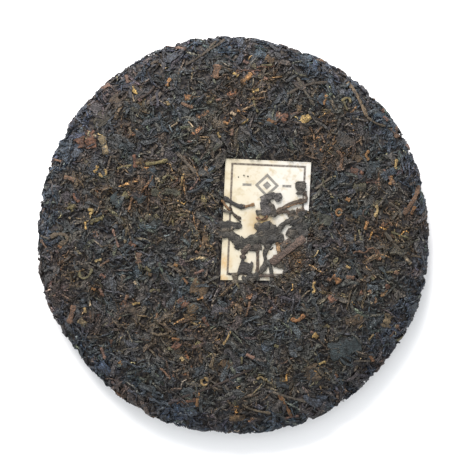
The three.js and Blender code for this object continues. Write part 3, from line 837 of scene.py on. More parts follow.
# Each row: path as seen from above, width, lift over the paper, palette, squareness of the ends.
COVER = [
    ([(-5.0, 18.8), (-0.5, 16.2), (3.0, 14.2), (6.2, 14.2)], 1.9, 0.5, COVER_LEAF, 4),
    ([(4.4, 13.8), (7.0, 14.4), (10.8, 15.5)], 1.2, 0.6, ORANGE_STEM, 5),
    ([(-5.8, 18.0), (-3.6, 14.4), (-1.4, 12.4)], 1.1, 0.5, ORANGE_STEM, 4),
    ([(-1.8, 14.4), (-0.2, 10.8), (2.6, 8.4), (4.2, 8.6)], 1.3, 0.5, STEM_BROWN, 3),
    ([(1.6, 8.9), (3.0, 7.2), (4.0, 6.4)], 0.9, 0.4, COVER_LEAF, 3),
    ([(-5.2, 12.6), (-2.4, 11.4), (-0.4, 11.2)], 1.0, 0.4, COVER_LEAF, 3),
    ([(-12.6, 5.0), (-3.5, 4.9), (4.6, 4.6)], 5.0, 0.7, COVER_LEAF, 1.7),
    ([(-10.0, 2.0), (-4.0, 2.6), (1.2, 3.6)], 2.0, 0.7, BROWN_LEAF, 2),
    ([(-9.6, 0.8), (-1.0, 0.4), (3.3, -4.0), (1.5, -7.2)], 4.2, 0.6, COVER_LEAF, 2.4),
    ([(2.0, -4.6), (7.6, -3.6), (12.1, -1.8), (18.2, 0.6)], 5.2, 0.7, COVER_LEAF, 3),
    ([(4.6, -5.6), (9.8, -6.7), (14.4, -5.6)], 3.2, 0.6, COVER_LEAF, 3),
    ([(12.4, -1.4), (17.7, 0.6), (22.6, 2.4)], 8.2, 0.9, COVER_LEAF, 3),
    ([(13.9, 5.6), (17.7, 1.5), (20.4, -4.2)], 5.6, 1.0, COVER_LEAF, 2.5),
    ([(11.6, 6.2), (14.2, 1.6), (15.6, -3.6)], 3.4, 0.8, BROWN_LEAF, 2.5),
    ([(17.7, -0.5), (21.7, -1.6), (25.6, -1.6)], 4.4, 0.8, COVER_LEAF, 2.2),
    ([(8.1, -4.4), (5.6, -7.6), (4.8, -12.0)], 2.9, 0.6, BROWN_LEAF, 3),
    ([(15.5, 15.8), (16.8, 19.3), (20.3, 20.1), (24.4, 18.0)], 3.3, 0.8, HOOK_LEAF, 3),
    ([(17.0, 20.2), (16.2, 15.0), (17.4, 9.7)], 4.7, 0.7, HOOK_LEAF, 3),
    ([(18.2, 16.0), (20.7, 12.4), (19.8, 9.0)], 2.6, 0.8, COVER_LEAF, 3),
    ([(11.4, 11.0), (14.2, 11.7), (18.5, 10.8)], 2.3, 0.6, BROWN_LEAF, 3),
    ([(11.4, 8.9), (14.2, 7.5), (16.9, 8.4), (16.2, 11.6)], 1.3, 0.4, RUST_FLAKE, 3),
    ([(21.6, 10.8), (25.8, 14.0), (31.2, 16.5), (36.6, 17.2)], 2.1, 0.7, STEM_BROWN, 4),
    ([(26.4, 13.4), (30.8, 15.4), (35.2, 16.0)], 0.5, 0.8, ORANGE_STEM, 3),
    ([(23.6, 11.9), (26.6, 12.0), (28.6, 10.8), (30.4, 9.0)], 2.0, 0.7, STEM_BROWN, 3),
    ([(31.4, 11.8), (33.8, 11.6), (36.0, 12.6)], 2.9, 0.7, STEM_BROWN, 2.6),
    ([(33.8, 27.0), (33.9, 23.6), (34.4, 20.2)], 4.7, 0.7, COVER_LEAF, 2.8),
    ([(35.4, 21.4), (37.2, 18.8), (36.2, 16.2)], 1.2, 0.6, STEM_BROWN, 3),
    ([(22.4, 2.0), (25.5, 5.9), (29.0, 7.4), (33.4, 6.2)], 2.6, 0.7, COVER_LEAF, 3),
    ([(29.6, 9.6), (31.2, 6.4), (31.8, 2.6)], 4.2, 0.7, COVER_LEAF, 3),
    ([(28.4, 11.8), (30.6, 9.6), (34.4, 6.6)], 3.4, 0.8, BROWN_LEAF, 3),
    ([(34.2, 12.0), (35.8, 8.0), (38.0, 3.5)], 5.0, 0.7, COVER_LEAF, 3),
    ([(30.5, 8.3), (33.9, 3.0), (36.3, -1.4)], 4.6, 0.9, COVER_LEAF, 3),
    ([(26.8, 1.9), (30.8, 0.0), (36.0, -1.5)], 4.2, 0.8, COVER_LEAF, 3),
    ([(18.8, -14.2), (27.2, -8.0), (36.0, -1.2)], 2.9, 1.4, STALK_BROWN, 6),
    ([(23.2, -9.4), (28.6, -4.6), (34.4, -1.0)], 2.6, 0.6, COVER_LEAF, 3),
    ([(19.2, -3.0), (15.3, -9.1), (16.9, -14.4), (13.4, -19.0)], 2.1, 0.6, COVER_LEAF, 3),
    ([(12.1, -5.6), (12.4, -13.2), (12.1, -20.2)], 1.3, 0.5, STEM_BROWN, 5),
    ([(3.0, -15.6), (6.1, -16.6), (9.6, -17.4)], 5.6, 0.5, COVER_LEAF, 5),
    ([(4.8, -23.0), (8.4, -21.0), (13.4, -20.4)], 3.6, 0.6, COVER_LEAF, 3),
    ([(2.4, -23.2), (4.6, -23.4), (7.6, -23.6)], 1.3, 0.5, COVER_LEAF, 3),
    ([(12.9, -20.4), (16.8, -20.8), (20.6, -20.2)], 1.2, 0.8, STEM_BROWN, 4),
    ([(0.8, -18.8), (1.2, -21.4), (0.9, -24.4)], 2.6, 0.6, BROWN_LEAF, 4),
    ([(-2.6, -19.4), (0.0, -19.4), (2.4, -19.8)], 0.9, 0.4, COVER_LEAF, 3),
    ([(8.6, -22.9), (11.0, -21.6), (13.0, -20.4)], 2.4, 0.6, COVER_LEAF, 3),
    ([(17.2, -12.4), (19.1, -16.4), (19.4, -23.4)], 1.6, 0.7, COVER_LEAF, 3),
    ([(22.4, -3.6), (22.6, -6.8), (23.8, -10.6)], 2.1, 0.8, TAN_BROWN, 3),
    ([(23.4, -3.4), (25.6, -4.4), (27.6, -3.6)], 1.3, 0.9, ORANGE_STEM, 3),
    ([(24.3, -5.6), (26.6, -3.6), (28.9, -2.3)], 2.2, 0.8, BROWN_LEAF, 3),
    ([(19.9, -13.4), (23.8, -15.4), (30.0, -15.6)], 3.2, 0.8, BROWN_LEAF, 3),
    ([(26.6, -9.6), (29.6, -8.2), (34.6, -4.6)], 3.4, 0.7, COVER_LEAF, 3),
    ([(5.0, 30.1), (5.4, 30.0), (5.8, 29.9)], 0.5, 0.15, COVER_LEAF, 3),
    ([(7.0, 29.5), (7.4, 29.5), (7.8, 29.4)], 0.5, 0.15, COVER_LEAF, 3),
]


THICKEST = 0.8
THICK_FROM = 0.35
THICK_WITH_WIDTH = 0.15
UNEVEN_STEM = 0.12
UNEVEN_LEAF = 0.24
# Strength, width and seed of the blotches, as for the waves above.
BLOTCH = (1.2, 2.2, 71)
BLOTCH_LIMITS = (0.5, 1.8)
COVER_TONE = 1.24


def swept_piece(name, rows, seed, over_paper, tone):
    """One mesh of the blank swept along each row's path; tone makes all of it lighter or darker."""
    rng = np.random.default_rng(seed)
    blank, triangles, top = SWEEP_BLANK
    points, colours = [], []
    for path, width, lift, palette, blunt in rows:
        thick = min(THICKEST, THICK_FROM + THICK_WITH_WIDTH * width)
        placed = swept_leaf(path, width, thick, lift, rng, blunt, over_paper)
        uneven = UNEVEN_STEM if blunt > SQUARE_ENDED else UNEVEN_LEAF
        blotches = rng.normal(size=len(placed)) + patches_of([BLOTCH], placed)
        shade = np.clip(1 + (uneven * blotches)[:, None], *BLOTCH_LIMITS)
        points.append(placed)
        colours.append(pick_colours(palette, 1, rng) * tone * shade)
    numbers = np.arange(len(rows))
    numbered = (numbers[:, None, None] * len(blank) + triangles[None]).reshape(-1, 3)
    cells = math.ceil(math.sqrt(len(rows)))
    patches = patches_in_cells(numbers, patch_corners(blank, triangles, top), cells)
    return joined_mesh(name, np.concatenate(points), numbered, np.concatenate(colours), patches)


cover = swept_piece("cover_leaves", COVER, 410, True, COVER_TONE)

# %% [markdown]
# Some twigs, flakes and buds stand out of the heap and are placed one by one: pale stalks, a rusty flake
# near the left edge, a thick tan stick at the right edge. They are swept the same way, on the heap itself.
# Their palettes are pale and they lie open to the light, so a low tone takes them down.

# %% Twigs and flakes that stand out
# Under each palette: both ends as seen from above, width, swing of the middle to the left.
STANDING_OUT = [
    (TWIG_BARK, [
        (-4, 99, -24, 86, 1.2, 0.8), (-8.3, 98.2, -15.8, 90.2, 1.0, 0), (-39, 76.5, -47, 69, 1.3, 1.5),
        (57.8, 78, 67.5, 59.5, 1.9, 0.8), (67.5, 59.5, 77, 55, 1.2, -1.2), (-61, 70, -57, 65, 4, 0),
        (-66.6, 50.8, -63.9, 40.3, 3, 0), (-41, 85.5, -37.5, 87.6, 1.6, 0.8),
        (89.7, -10.3, 94.7, -11.1, 1.1, 0), (-32.4, 37.7, -32.2, 31.3, 0.7, 0),
        (-53.8, 4.3, -54.6, -4.2, 1.2, 0), (-53.9, -36.1, -47.8, -39.6, 3.6, 0),
        (-77.8, -42.6, -74.6, -45.6, 3.2, 0.3), (34.8, -34.4, 37.8, -41, 1.3, 0.3),
        (-9.2, -59.6, -11.4, -67, 2.0, 0), (4.6, -66, 6.8, -70.6, 0.9, 0),
        (78.8, -39.4, 76.8, -46.7, 3.3, 0), (27.3, 70.9, 47.9, 77.2, 1.4, 2.4),
    ]),
    (PALE_STALK, [
        (-36, 72, -44, 66, 1.8, 0), (-28.7, 42, -18.4, 31, 1.8, 0), (32.4, 79.7, 40.8, 65.5, 1.4, -0.3),
        (16.4, 85.6, 13.1, 73.9, 1.2, 0.3), (76.6, 1.5, 89.7, -14.5, 1.7, 0),
        (-97.3, -0.4, -92.2, -1.9, 1.0, 0), (41.5, 23.2, 49.4, 29.1, 1.1, 0),
        (-9.9, 28.7, -6.9, 29.2, 1.0, 0), (61, -63.8, 69.1, -63.4, 1.0, 0),
    ]),
    (TAN_STICK, [
        (95, 25, 86.2, 10.2, 2.5, 0.4), (-26.2, 67, -20.1, 64.5, 1.8, -0.6),
        (-7.5, 86, -9.6, 79.3, 4.2, 0.3), (43.2, 70.2, 43.4, 66.8, 1.5, 0),
        (80.9, 54.4, 83, 49.1, 3.4, 0.2), (47.6, -22, 49.6, -22.8, 1.8, 0),
        (57, -21.3, 61.2, -21.7, 1.8, 0.3), (81.4, -18.4, 83.4, -19.8, 2, 0),
        (-91, 38.4, -85.6, 36.8, 1.4, 0), (-85.2, 29.1, -79.4, 27.4, 2.4, 0.5),
        (-97.2, -2.3, -93.4, -8.2, 1.4, 0.2), (-19, -8.2, -17, -9.4, 1.5, 0),
        (-47.6, -8.8, -47.7, -14.4, 2.9, 0), (-67.3, -15.7, -62.3, -12.4, 1.2, 0),
        (-80.4, -35.4, -82.6, -44.6, 2.9, 0.4), (-53, -30.4, -55.2, -34.2, 2, 0),
        (-36.8, -67, -31.6, -72.6, 1.2, 0.3), (83.4, -45.2, 78.8, -52.1, 1.2, 0),
        (8.6, -33.6, 6.3, -41, 1.3, 0.3),
    ]),
    (TAN_BROWN, [
        (16.3, 89.5, 20.5, 87.4, 3.2, 0), (33.2, 66, 33.2, 61.8, 2.2, 0.3), (64, 42, 66.4, 38.4, 2.2, 0.3),
        (60.5, 40, 64.5, 37.6, 3.6, 0.3), (-49.4, 36.6, -45, 37.2, 3.2, 0.2),
        (-53, 26, -50.4, 23.4, 3, 0.3), (-14.6, 1.6, -13.6, -4.8, 2.8, 0.2),
        (-21, -25, -13.4, -29.4, 6.4, 0.6), (-20, -34.6, -22.4, -42.6, 5.2, 0.4),
        (-6.7, -35.6, -6.9, -40, 2.2, 0), (-44, -19.2, -41, -20.2, 2, 0), (-2, -92.4, 6.2, -92.6, 2.8, 0.4),
        (-6.5, -63, -2, -67.4, 4.6, 0.4), (38, -66, 41, -74, 6, 0.5), (57, -44.6, 66, -42, 4.2, 0.5),
    ]),
    (FOX_FLAKE, [
        (-72.6, 53, -71.6, 43.8, 4.6, 0), (-77.8, 49.6, -76.4, 44, 3.8, 0.3),
        (21.5, 60.4, 27.4, 58.6, 4.2, 0.3), (59.4, 31.6, 66, 32, 3, 0.3), (-50, 40.6, -49.4, 34, 1.9, 0.3),
        (-52.6, -3.6, -49, -5.6, 2.2, 0.2), (-27.4, -32.2, -23.6, -36, 3.9, 0.3),
        (-15.2, -41.4, -12.5, -46, 1.9, 0), (-67, -19.8, -64.4, -21.6, 1.8, 0),
        (-67, -29.4, -65, -30.4, 1.8, 0), (-29.8, -54.8, -27.6, -57.2, 4, 0),
        (-61.4, -52.8, -62, -56.4, 1.6, 0), (-25.4, -84.8, -18.6, -83, 1.8, 0.3),
        (18, -39, 20, -36.8, 1.6, 0), (48.6, -29.4, 51, -33.8, 4, 0.3), (64, -29, 66.6, -30, 2.2, 0),
        (76.8, -25.6, 79.2, -26.8, 2.2, 0), (4.3, 83.1, 14.3, 83.1, 0.6, 0),
    ]),
    (ORANGE_BIT, [
        (-33.6, 75.2, -31.5, 79.1, 1.8, 0.4), (-24.8, 69.3, -19.4, 69.8, 2.6, 0.4),
        (9.7, 81.4, 4.7, 76.4, 2.8, -0.4), (-4.8, 57.2, -2.3, 56.1, 1.4, 0),
        (17.2, 58.4, 22.2, 56.6, 1.9, -0.3), (42.2, 49.4, 43.6, 48.4, 1.5, 0),
        (43.8, 43.3, 45.4, 42.4, 1.6, 0), (47.4, 70.6, 45.4, 65.8, 1.8, 0.2),
        (91.8, 14.4, 90, 10.4, 1.7, 0), (80, 30, 79.2, 25.4, 1.4, 0.3), (57, 18.4, 59, 17.4, 1.9, 0),
        (67.9, 7, 66.6, 2.7, 1.6, 0), (50.2, -20.6, 53.8, -24.2, 2.4, 0.3),
        (-88.4, -5.4, -86.6, -6.4, 1.7, 0), (-29.8, -14.6, -27.8, -15.4, 2, 0),
        (-25.4, -21.8, -23, -24.6, 1.8, 0), (-18.2, -32.4, -15, -31.4, 1.5, 0),
        (-71.4, -26.8, -69.4, -27.8, 1.5, 0), (-31, -52.6, -27, -52.8, 1.5, 0.3),
        (-57.4, -63.8, -55.8, -65, 1.8, 0), (-17.4, -79.4, -18, -86.4, 1.7, -0.4),
        (69, -60.6, 70.6, -63.6, 1.7, -0.2),
    ]),
    (PINK_BIT, [
        (-23, 47.2, -20.8, 46.8, 1.3, 0), (-53.8, 80.8, -53, 76.6, 1.7, 0),
        (-29, 94.4, -24, 93.6, 1.6, 0.4), (-66.3, 73.4, -62, 75.9, 1.8, 0),
        (15.6, 79.6, 17.4, 78.6, 1.6, 0), (9.8, 82.8, 11.3, 80.9, 1.4, 0), (5.2, 88, 7.8, 86.6, 1.8, 0),
        (-0.4, 53.4, -0.5, 50, 1.5, 0), (-8.6, 67.8, -6.2, 68.6, 1.4, 0), (75.9, 60, 78.2, 57.6, 1.9, 0),
        (70.2, 70, 71.6, 68.5, 1.5, 0), (75.2, 63.4, 76.6, 62.2, 1.4, 0), (87.2, 45.6, 89.2, 43.4, 1.6, 0),
        (76.2, 33.3, 79.6, 27.9, 1.1, 0), (-60.8, 3.1, -57.7, -6.2, 1.2, 0),
        (-19.6, -19.6, -14.6, -17.6, 1.6, 0), (-67.6, -27, -66.2, -29, 1.6, 0),
        (-66.6, -56.6, -64.4, -62.6, 1.5, 0), (26, -93, 33.2, -91.2, 1.1, 0.2),
        (6.6, -60.2, 10.8, -62.2, 1.8, 0), (39, -48.6, 40.4, -49.4, 1.3, 0),
    ]),
    (OLIVE_GOLD, [
        (14.3, 85.4, 19.8, 86, 1.2, 0), (10.4, 68, 12.7, 62, 1.1, -0.6), (-58.5, 33.4, -51.1, 35.3, 1, 0.3),
        (-55.6, 21.2, -52.8, 18.8, 2.2, 0.2), (-83.4, 15, -79.8, 13.2, 3, 0.3),
        (-72.8, 6.2, -65, 9.2, 2.1, 0.3), (-44.3, 35.8, -32.9, 37.8, 1.9, -0.4),
        (-39.4, 10.4, -37.8, 8.2, 2, 0), (-30.5, 7.8, -30, 4.6, 1, -0.3), (1.8, -24.4, 3.4, -27, 1.2, 0),
        (-44.4, -16.4, -41.6, -18.3, 1.8, 0), (-16.4, -54, -18.6, -56.2, 2.2, 0.2),
        (12.6, -70.8, 15.6, -70.4, 0.9, 0.3), (4.5, -61.2, 4.2, -65, 1.2, 0),
        (20.8, -55.6, 23, -56.6, 1.7, 0), (47, -45.4, 48.6, -46.6, 1.6, 0),
        (83.2, -53.6, 87, -51.2, 1.2, 0.2), (80, 1.5, 88.4, -1.5, 0.9, 0), (69.6, -21, 71.4, -22.4, 1.8, 0),
    ]),
    (BRIGHT_BUD, [
        (-51.4, 73.8, -47.8, 71.3, 2.3, 0.3), (0, 81.8, 2.7, 80.2, 1.4, 0), (9.7, 72.6, 13, 73.4, 1.9, 0.2),
        (4.3, 56.2, 8.2, 58.4, 1.1, 0.3), (34.3, 57.8, 40.8, 61.4, 2.9, -0.6),
        (82.4, 38.2, 81.8, 33.2, 1.5, -0.2), (-68.3, 35, -70.2, 31.6, 1.6, 0.5),
        (-50.8, -35.2, -47, -34.2, 1.3, 0.3), (40.4, -50, 42.8, -52, 2.2, 0.2),
        (24.2, -82, 25.6, -83.6, 1.9, 0), (43.4, -65.4, 46.8, -64, 1.2, 0.3),
        (-74.8, 6.7, -74.2, 2.8, 1.2, 0),
    ]),
    (BUD_GOLD, [
        (-49, 53.4, -47.6, 51, 1.3, 0), (-33.2, 67.6, -32.4, 65.4, 1.6, 0), (-8, 51.8, -6.5, 49, 1.3, 0),
        (61.8, 0.3, 61.4, -2.8, 1, 0), (57, -15.6, 59.2, -16.7, 1.2, 0),
        (-69.9, -13.4, -66.4, -12.4, 1.4, 0.2), (-75, -36.4, -74.6, -39.2, 1.6, 0.3),
        (-26.6, -61.6, -25, -63.4, 2, 0.2), (63.4, -46.8, 65.6, -45.6, 1.2, 0),
        (68.8, -53.2, 71.2, -50, 1.1, 0), (-8.2, -38.2, -6.2, -39.8, 0.9, 0),
    ]),
    (PALE_BIT, [
        (-31.5, 54.6, -28, 56.7, 0.9, 0), (-1.2, 62, 1.3, 60.4, 1.8, 0), (23.4, 62, 23.5, 58.2, 0.8, 0),
        (-70.4, 50.6, -69, 49.8, 1.4, 0), (-76.8, 13.6, -75.8, 13.2, 0.9, 0), (-83, 9, -82, 8.3, 1, 0),
        (-29, 28.8, -28.2, 28.2, 0.9, 0), (-28, 15.2, -26.6, 14.7, 1, 0), (-50, -23.4, -49, -25, 1.4, 0),
        (-72.7, -33.2, -72, -35.8, 1.2, 0), (69, -34, 70.4, -34.6, 1.6, 0),
        (87.6, -12, 89.9, -14.8, 1.7, 0), (-23, 57.8, -20.1, 54.2, 0.8, 0.3),
        (-51, 70.9, -50.1, 67.3, 1, 0),
    ]),
    (OLIVE_LEAF, [
        (-41.4, 21.2, -26.2, 21.4, 2.9, 0.9), (-44, 10, -41, 7, 3, 0.2), (60.8, 23.4, 67.2, 24, 3.4, 0.5),
        (42, 8.4, 50, 6.4, 5.4, 0.5),
    ]),
    (BROWN_LEAF, [
        (-69, 60, -64, 56, 6, 0.5), (52, 49.2, 61.5, 46.2, 4.6, 0.4),
    ]),
    (SLATE_LEAF, [
        (-61.6, 19.6, -56.6, 14.8, 5.6, 0.3), (-49.6, 21.4, -45.4, 16.6, 5, 0.3),
        (-40.7, 34.6, -41.2, 23.6, 2.6, 0), (48.5, -59.6, 64.8, -55.4, 7, 0.6),
    ]),
]

# Curled ones, each with its palette, width and path. A path that comes back to its start is a ring.
CURLED = [
    (OLIVE_GOLD, 1.2, [(54.6, 67.5), (57.5, 69.7), (59.3, 68.3), (58.9, 66.6)]),
    (OLIVE_GOLD, 1.1, [(55.7, 67.5), (56.4, 65.4), (58.1, 63)]),
    (ORANGE_BIT, 1.3, [(68.6, 42.6), (66.8, 40.3), (68.6, 37.8)]),
    (TAN_STICK, 1.4, [(52.5, 42.7), (55.7, 39.4), (54.6, 36.5), (54.3, 33.4)]),
    (ORANGE_BIT, 1.1, [(53.6, 13), (52.2, 12.4), (52, 10.4), (53.6, 9.6), (54.8, 11), (54.6, 12.8),
                       (53.4, 13)]),
    (BUD_GOLD, 1.5, [(72, 15.4), (73.5, 12.8), (71.4, 9.2)]),
    (TWIG_BARK, 0.7, [(68, 13.4), (65.6, 12.4), (65.4, 9.4), (67.8, 8), (70.4, 9.4), (70.6, 12),
                      (68.4, 13.4)]),
    (TAN_STICK, 0.9, [(60.6, -9.6), (61.6, -8.2), (64.6, -8.2), (66.8, -9.8), (68, -6.8), (71, -6.2),
                      (72.6, -8.8), (71.4, -12), (68.8, -12.6), (66.2, -10.4)]),
    (PALE_STALK, 1.2, [(78.8, 16.2), (84, 13.4), (84.8, 8.4)]),
    (BRIGHT_BUD, 1.1, [(-67.6, 31.4), (-66.8, 29.6), (-64.4, 29.8), (-63.8, 32), (-65.2, 33.2)]),
    (FOX_FLAKE, 1.3, [(-80.6, 21), (-79.4, 17.6), (-77.4, 17)]),
    (BRIGHT_BUD, 1.4, [(-73.2, 12.8), (-69.8, 12.9), (-72.4, 10.2)]),
    (TWIG_BARK, 1.9, [(-92, -1.2), (-88.4, 0.8), (-84, 0.2), (-82.8, -2.8), (-87.8, -4.8)]),
    (PALE_BIT, 1.2, [(-39.2, 28.2), (-37.6, 28.6), (-37.4, 26.6)]),
    (OLIVE_GOLD, 1.0, [(-35.6, 28.4), (-32.4, 30.8), (-29.6, 28)]),
    (PALE_STALK, 1.0, [(-29.4, -13.8), (-25.8, -15.4), (-24.8, -19)]),
    (OLIVE_GOLD, 1.3, [(-77.6, -18.6), (-77, -21.4), (-74.8, -22), (-72.4, -20.6), (-71, -16.6)]),
    (TWIG_BARK, 1.1, [(-41.2, -49.2), (-37.4, -50.8), (-32.4, -49.4)]),
    (PALE_STALK, 0.7, [(-55.8, -58.6), (-53.4, -57.2), (-50, -57.6), (-47.6, -56.6)]),
    (OLIVE_GOLD, 1.1, [(-42, -28.6), (-39.6, -27), (-36.6, -28.4)]),
    (ORANGE_BIT, 1.9, [(29.2, -42.2), (32.4, -43.8), (36.2, -40.2)]),
    (BUD_GOLD, 1.1, [(-1.4, -48), (-2.4, -51.8), (-5.2, -55.6)]),
    (BUD_GOLD, 1.3, [(-14.4, -72), (-16.2, -73), (-15.8, -75.4), (-13.6, -76), (-12.4, -74.2), (-13.4, -72.2),
                     (-14.6, -72)]),
    (TWIG_BARK, 1.2, [(-33.5, -86), (-26, -81.9), (-8.8, -76.1), (2.4, -70.7), (10, -67.4)]),
    (BUD_GOLD, 1.1, [(12, -72.8), (14.2, -71.4), (16.6, -73.8)]),
    (ORANGE_BIT, 1.6, [(23, -80.4), (24.8, -83), (29.6, -91.4)]),
    (TWIG_BARK, 1.2, [(4.7, -85.3), (8.4, -88), (19, -89.6)]),
    (PALE_STALK, 1.3, [(19.7, -79), (27.7, -82), (37.8, -83.6)]),
    (BRIGHT_BUD, 1.2, [(41.8, -23.6), (40.1, -25), (40.6, -26.8), (41.5, -28), (40, -29.4)]),
]


def bowed(x0, y0, x1, y1, bow):
    long = math.hypot(x1 - x0, y1 - y0)
    middle = ((x0 + x1) / 2 - bow * (y1 - y0) / long, (y0 + y1) / 2 + bow * (x1 - x0) / long)
    return [(x0, y0), middle, (x1, y1)]


NEARER_TOP = 0.992
LESS_NEAR = 0.004
LESS_FROM = 80
LESS_OVER = 15


def brought_in(path):
    """The top is nearer to the camera than the rim, so places read off the photo are drawn in a little."""
    path = np.array(path, dtype=float)
    radius = np.hypot(*path.T)[:, None]
    return path * (NEARER_TOP + LESS_NEAR * np.clip((radius - LESS_FROM) / LESS_OVER, 0, 1))


SLIM_BELOW = 2.1
# Share of the width that shows, lift and squareness of the ends.
SLIM_TWIG = (0.78, 0.6, 4)
BROAD_FLAKE = (1, 0.4, 3)
CURLED_TWIG = (0.85, 0.65, 4)
FUSED_TONE = 0.56


def row_of(path, width, palette, kind):
    share, lift, blunt = kind
    return (brought_in(path), width * share, lift, palette, blunt)


rows = []
for palette, group in STANDING_OUT:
    for x0, y0, x1, y1, width, bow in group:
        kind = SLIM_TWIG if width < SLIM_BELOW or palette is TAN_STICK else BROAD_FLAKE
        rows.append(row_of(bowed(x0, y0, x1, y1, bow), width, palette, kind))
rows += [row_of(path, width, palette, CURLED_TWIG) for palette, width, path in CURLED]
fused = swept_piece("fused_twigs", rows, 411, False, FUSED_TONE)

# %% [markdown]
# Finishes. Dried leaf is nearly black with a dull sheen and finer streaks along it than a mesh can carry. The
# tint of each leaf comes from the colour attribute, its streaks from noise on the leaf's own UV patch, and
# fine specks from noise on object coordinates. The specks also bump the surface and change its sheen. Each
# helper below adds one node to the tree of the value that it is given.


# %% Helpers for finishes
def new_finish(name):
    """A new material with its node tree and its shader."""
    finish = bpy.data.materials.new(name)
    finish.use_nodes = True
    return finish, finish.node_tree, finish.node_tree.nodes["Principled BSDF"]


def add(tree, kind, **settings):
    node = tree.nodes.new(kind)
    for key, value in settings.items():
        setattr(node, key, value)
    return node


def feed(socket, value):
    """Links a node's output to a socket, or sets the socket to a number or a colour."""
    if isinstance(value, bpy.types.NodeSocket):
        socket.id_data.links.new(value, socket)
    else:
        socket.default_value = value


def noise_at(vector, scale, detail, stretch=(1, 1, 1)):
    mapping = add(vector.id_data, "ShaderNodeMapping")
    feed(mapping.inputs["Scale"], stretch)
    feed(mapping.inputs["Vector"], vector)
    noise = add(vector.id_data, "ShaderNodeTexNoise")
    feed(noise.inputs["Scale"], scale)
    feed(noise.inputs["Detail"], detail)
    feed(noise.inputs["Vector"], mapping.outputs["Vector"])
    return noise.outputs["Fac"]


def ramp(value, low, high, to_low, to_high):
    node = add(value.id_data, "ShaderNodeMapRange")
    for key, number in (("From Min", low), ("From Max", high), ("To Min", to_low), ("To Max", to_high)):
        feed(node.inputs[key], number)
    feed(node.inputs["Value"], value)
    return node.outputs["Result"]


def math_node(operation, a, b=0.0):
    node = add(a.id_data, "ShaderNodeMath", operation=operation)
    feed(node.inputs[0], a)
    feed(node.inputs[1], b)
    return node.outputs[0]


def blend(share, a, b):
    """A mix of two colours, each a screen colour or the output of a node."""
    node = add(share.id_data, "ShaderNodeMix", data_type="RGBA")
    feed(node.inputs[0], share)
    for index, value in ((6, a), (7, b)):
        feed(node.inputs[index], (*paint(*value), 1) if isinstance(value, tuple) else value)
    return node.outputs[2]


def bumped(shader, height, strength, distance):
    bump = add(shader.id_data, "ShaderNodeBump")
    feed(bump.inputs["Strength"], strength)
    feed(bump.inputs["Distance"], distance * MM)
    feed(bump.inputs["Height"], height)
    feed(shader.inputs["Normal"], bump.outputs["Normal"])


def surface(shader, colour, roughness, specular=0.5):
    feed(shader.inputs["Base Color"], colour)
    feed(shader.inputs["Roughness"], roughness)
    feed(shader.inputs["Specular IOR Level"], specular)


print("a screen's middle grey as a shader's colour:", paint(128, 128, 128).round(3))

# %% Leaf finish
STREAK = 0.35
STREAKS_ALONG = 1.6
STREAKS_ACROSS = 5.0
SPECKS = 1500
SPECKS_DARK, SPECKS_LIGHT = 0.4, 0.62
LEAF_SPECULAR = 0.35
LEAF_BUMP = 0.75


def leaf_finish(name, roughness, cells, grain):
    finish, tree, shader = new_finish(name)
    patch = add(tree, "ShaderNodeUVMap", uv_map="OFBake").outputs["UV"]
    place = add(tree, "ShaderNodeTexCoord").outputs["Object"]
    tint = add(tree, "ShaderNodeAttribute", attribute_name="leaf_tint").outputs["Color"]
    streaks = noise_at(patch, 1.0, 3.0, (cells * STREAKS_ALONG, cells * STREAKS_ACROSS, 1))
    specks = noise_at(place, SPECKS, 5.0)
    streaked = ramp(streaks, 0.3, 0.7, 1 - STREAK, 1 + STREAK)
    speckled = ramp(specks, SPECKS_DARK, SPECKS_LIGHT, 1 - grain, 1 + grain)
    shade = add(tree, "ShaderNodeVectorMath", operation="SCALE")
    feed(shade.inputs[0], tint)
    feed(shade.inputs["Scale"], math_node("MULTIPLY", streaked, speckled))
    dull = ramp(specks, 0.3, 0.7, roughness - 0.1, roughness + 0.12)
    surface(shader, shade.outputs["Vector"], dull, LEAF_SPECULAR)
    bumped(shader, specks, 1.0, LEAF_BUMP)
    return finish


ROUGHNESS = {
    "black": 0.5, "brown": 0.58, "olive": 0.6, "rust": 0.68, "buds": 0.65, "twigs": 0.62, "cover": 0.6,
    "pale": 0.7, "fused": 0.62, "flat": 0.5,
}
# Cells along a side of the UV map, and how strongly the specks show.
LARGE_PIECE = (9, 0.5)
SMALL_LEAF = (50, 0.93)
for piece in heap + [cover, fused]:
    kind = piece.name.split("_")[0]
    cells, grain = LARGE_PIECE if piece in (cover, fused) else SMALL_LEAF
    piece.data.materials.append(leaf_finish(piece.name + "_finish", ROUGHNESS[kind], cells, grain))
    print(piece.name, "finished with roughness", ROUGHNESS[kind])

# %% [markdown]
# The core shows only in gaps: nearly black, partly the dark pressed tea and partly painted shade of the gaps,
# with a few lighter crumbs, from noise on object coordinates.

# %% Core finish
# Darker than the leaves: partly the pressed tea's own colour, partly painted shade in the gaps.
CORE_DARK_AND_SHADE = (31, 30, 33)
CORE_CRUMB = (82, 75, 66)
CRUMBS = 700

finish, tree, shader = new_finish("core_finish")
place = add(tree, "ShaderNodeTexCoord").outputs["Object"]
crumbs = ramp(noise_at(place, CRUMBS, 4.0), 0.42, 0.75, 0, 1)
surface(shader, blend(crumbs, CORE_DARK_AND_SHADE, CORE_CRUMB), 0.7, 0.2)
core.data.materials.append(finish)
print("core finish has", len(tree.nodes), "nodes")

# %% [markdown]
# The ticket is cream paper, stained tan where wet leaves touched it, with a thin border line. Where such a
# slip is printed, a plain lozenge with bars stands in. Everything is worked out in millimetres on the paper
# from its UV map: a shape is drawn where a distance to it is small.

# %% Millimetres on the paper
PAPER_SIZE = (43.3, 61.3)
BROAD, MOTTLES, FIBRES = 110, 380, 900
EDGE_SOFTNESS = 0.18
STAIN_CORE = 0.3

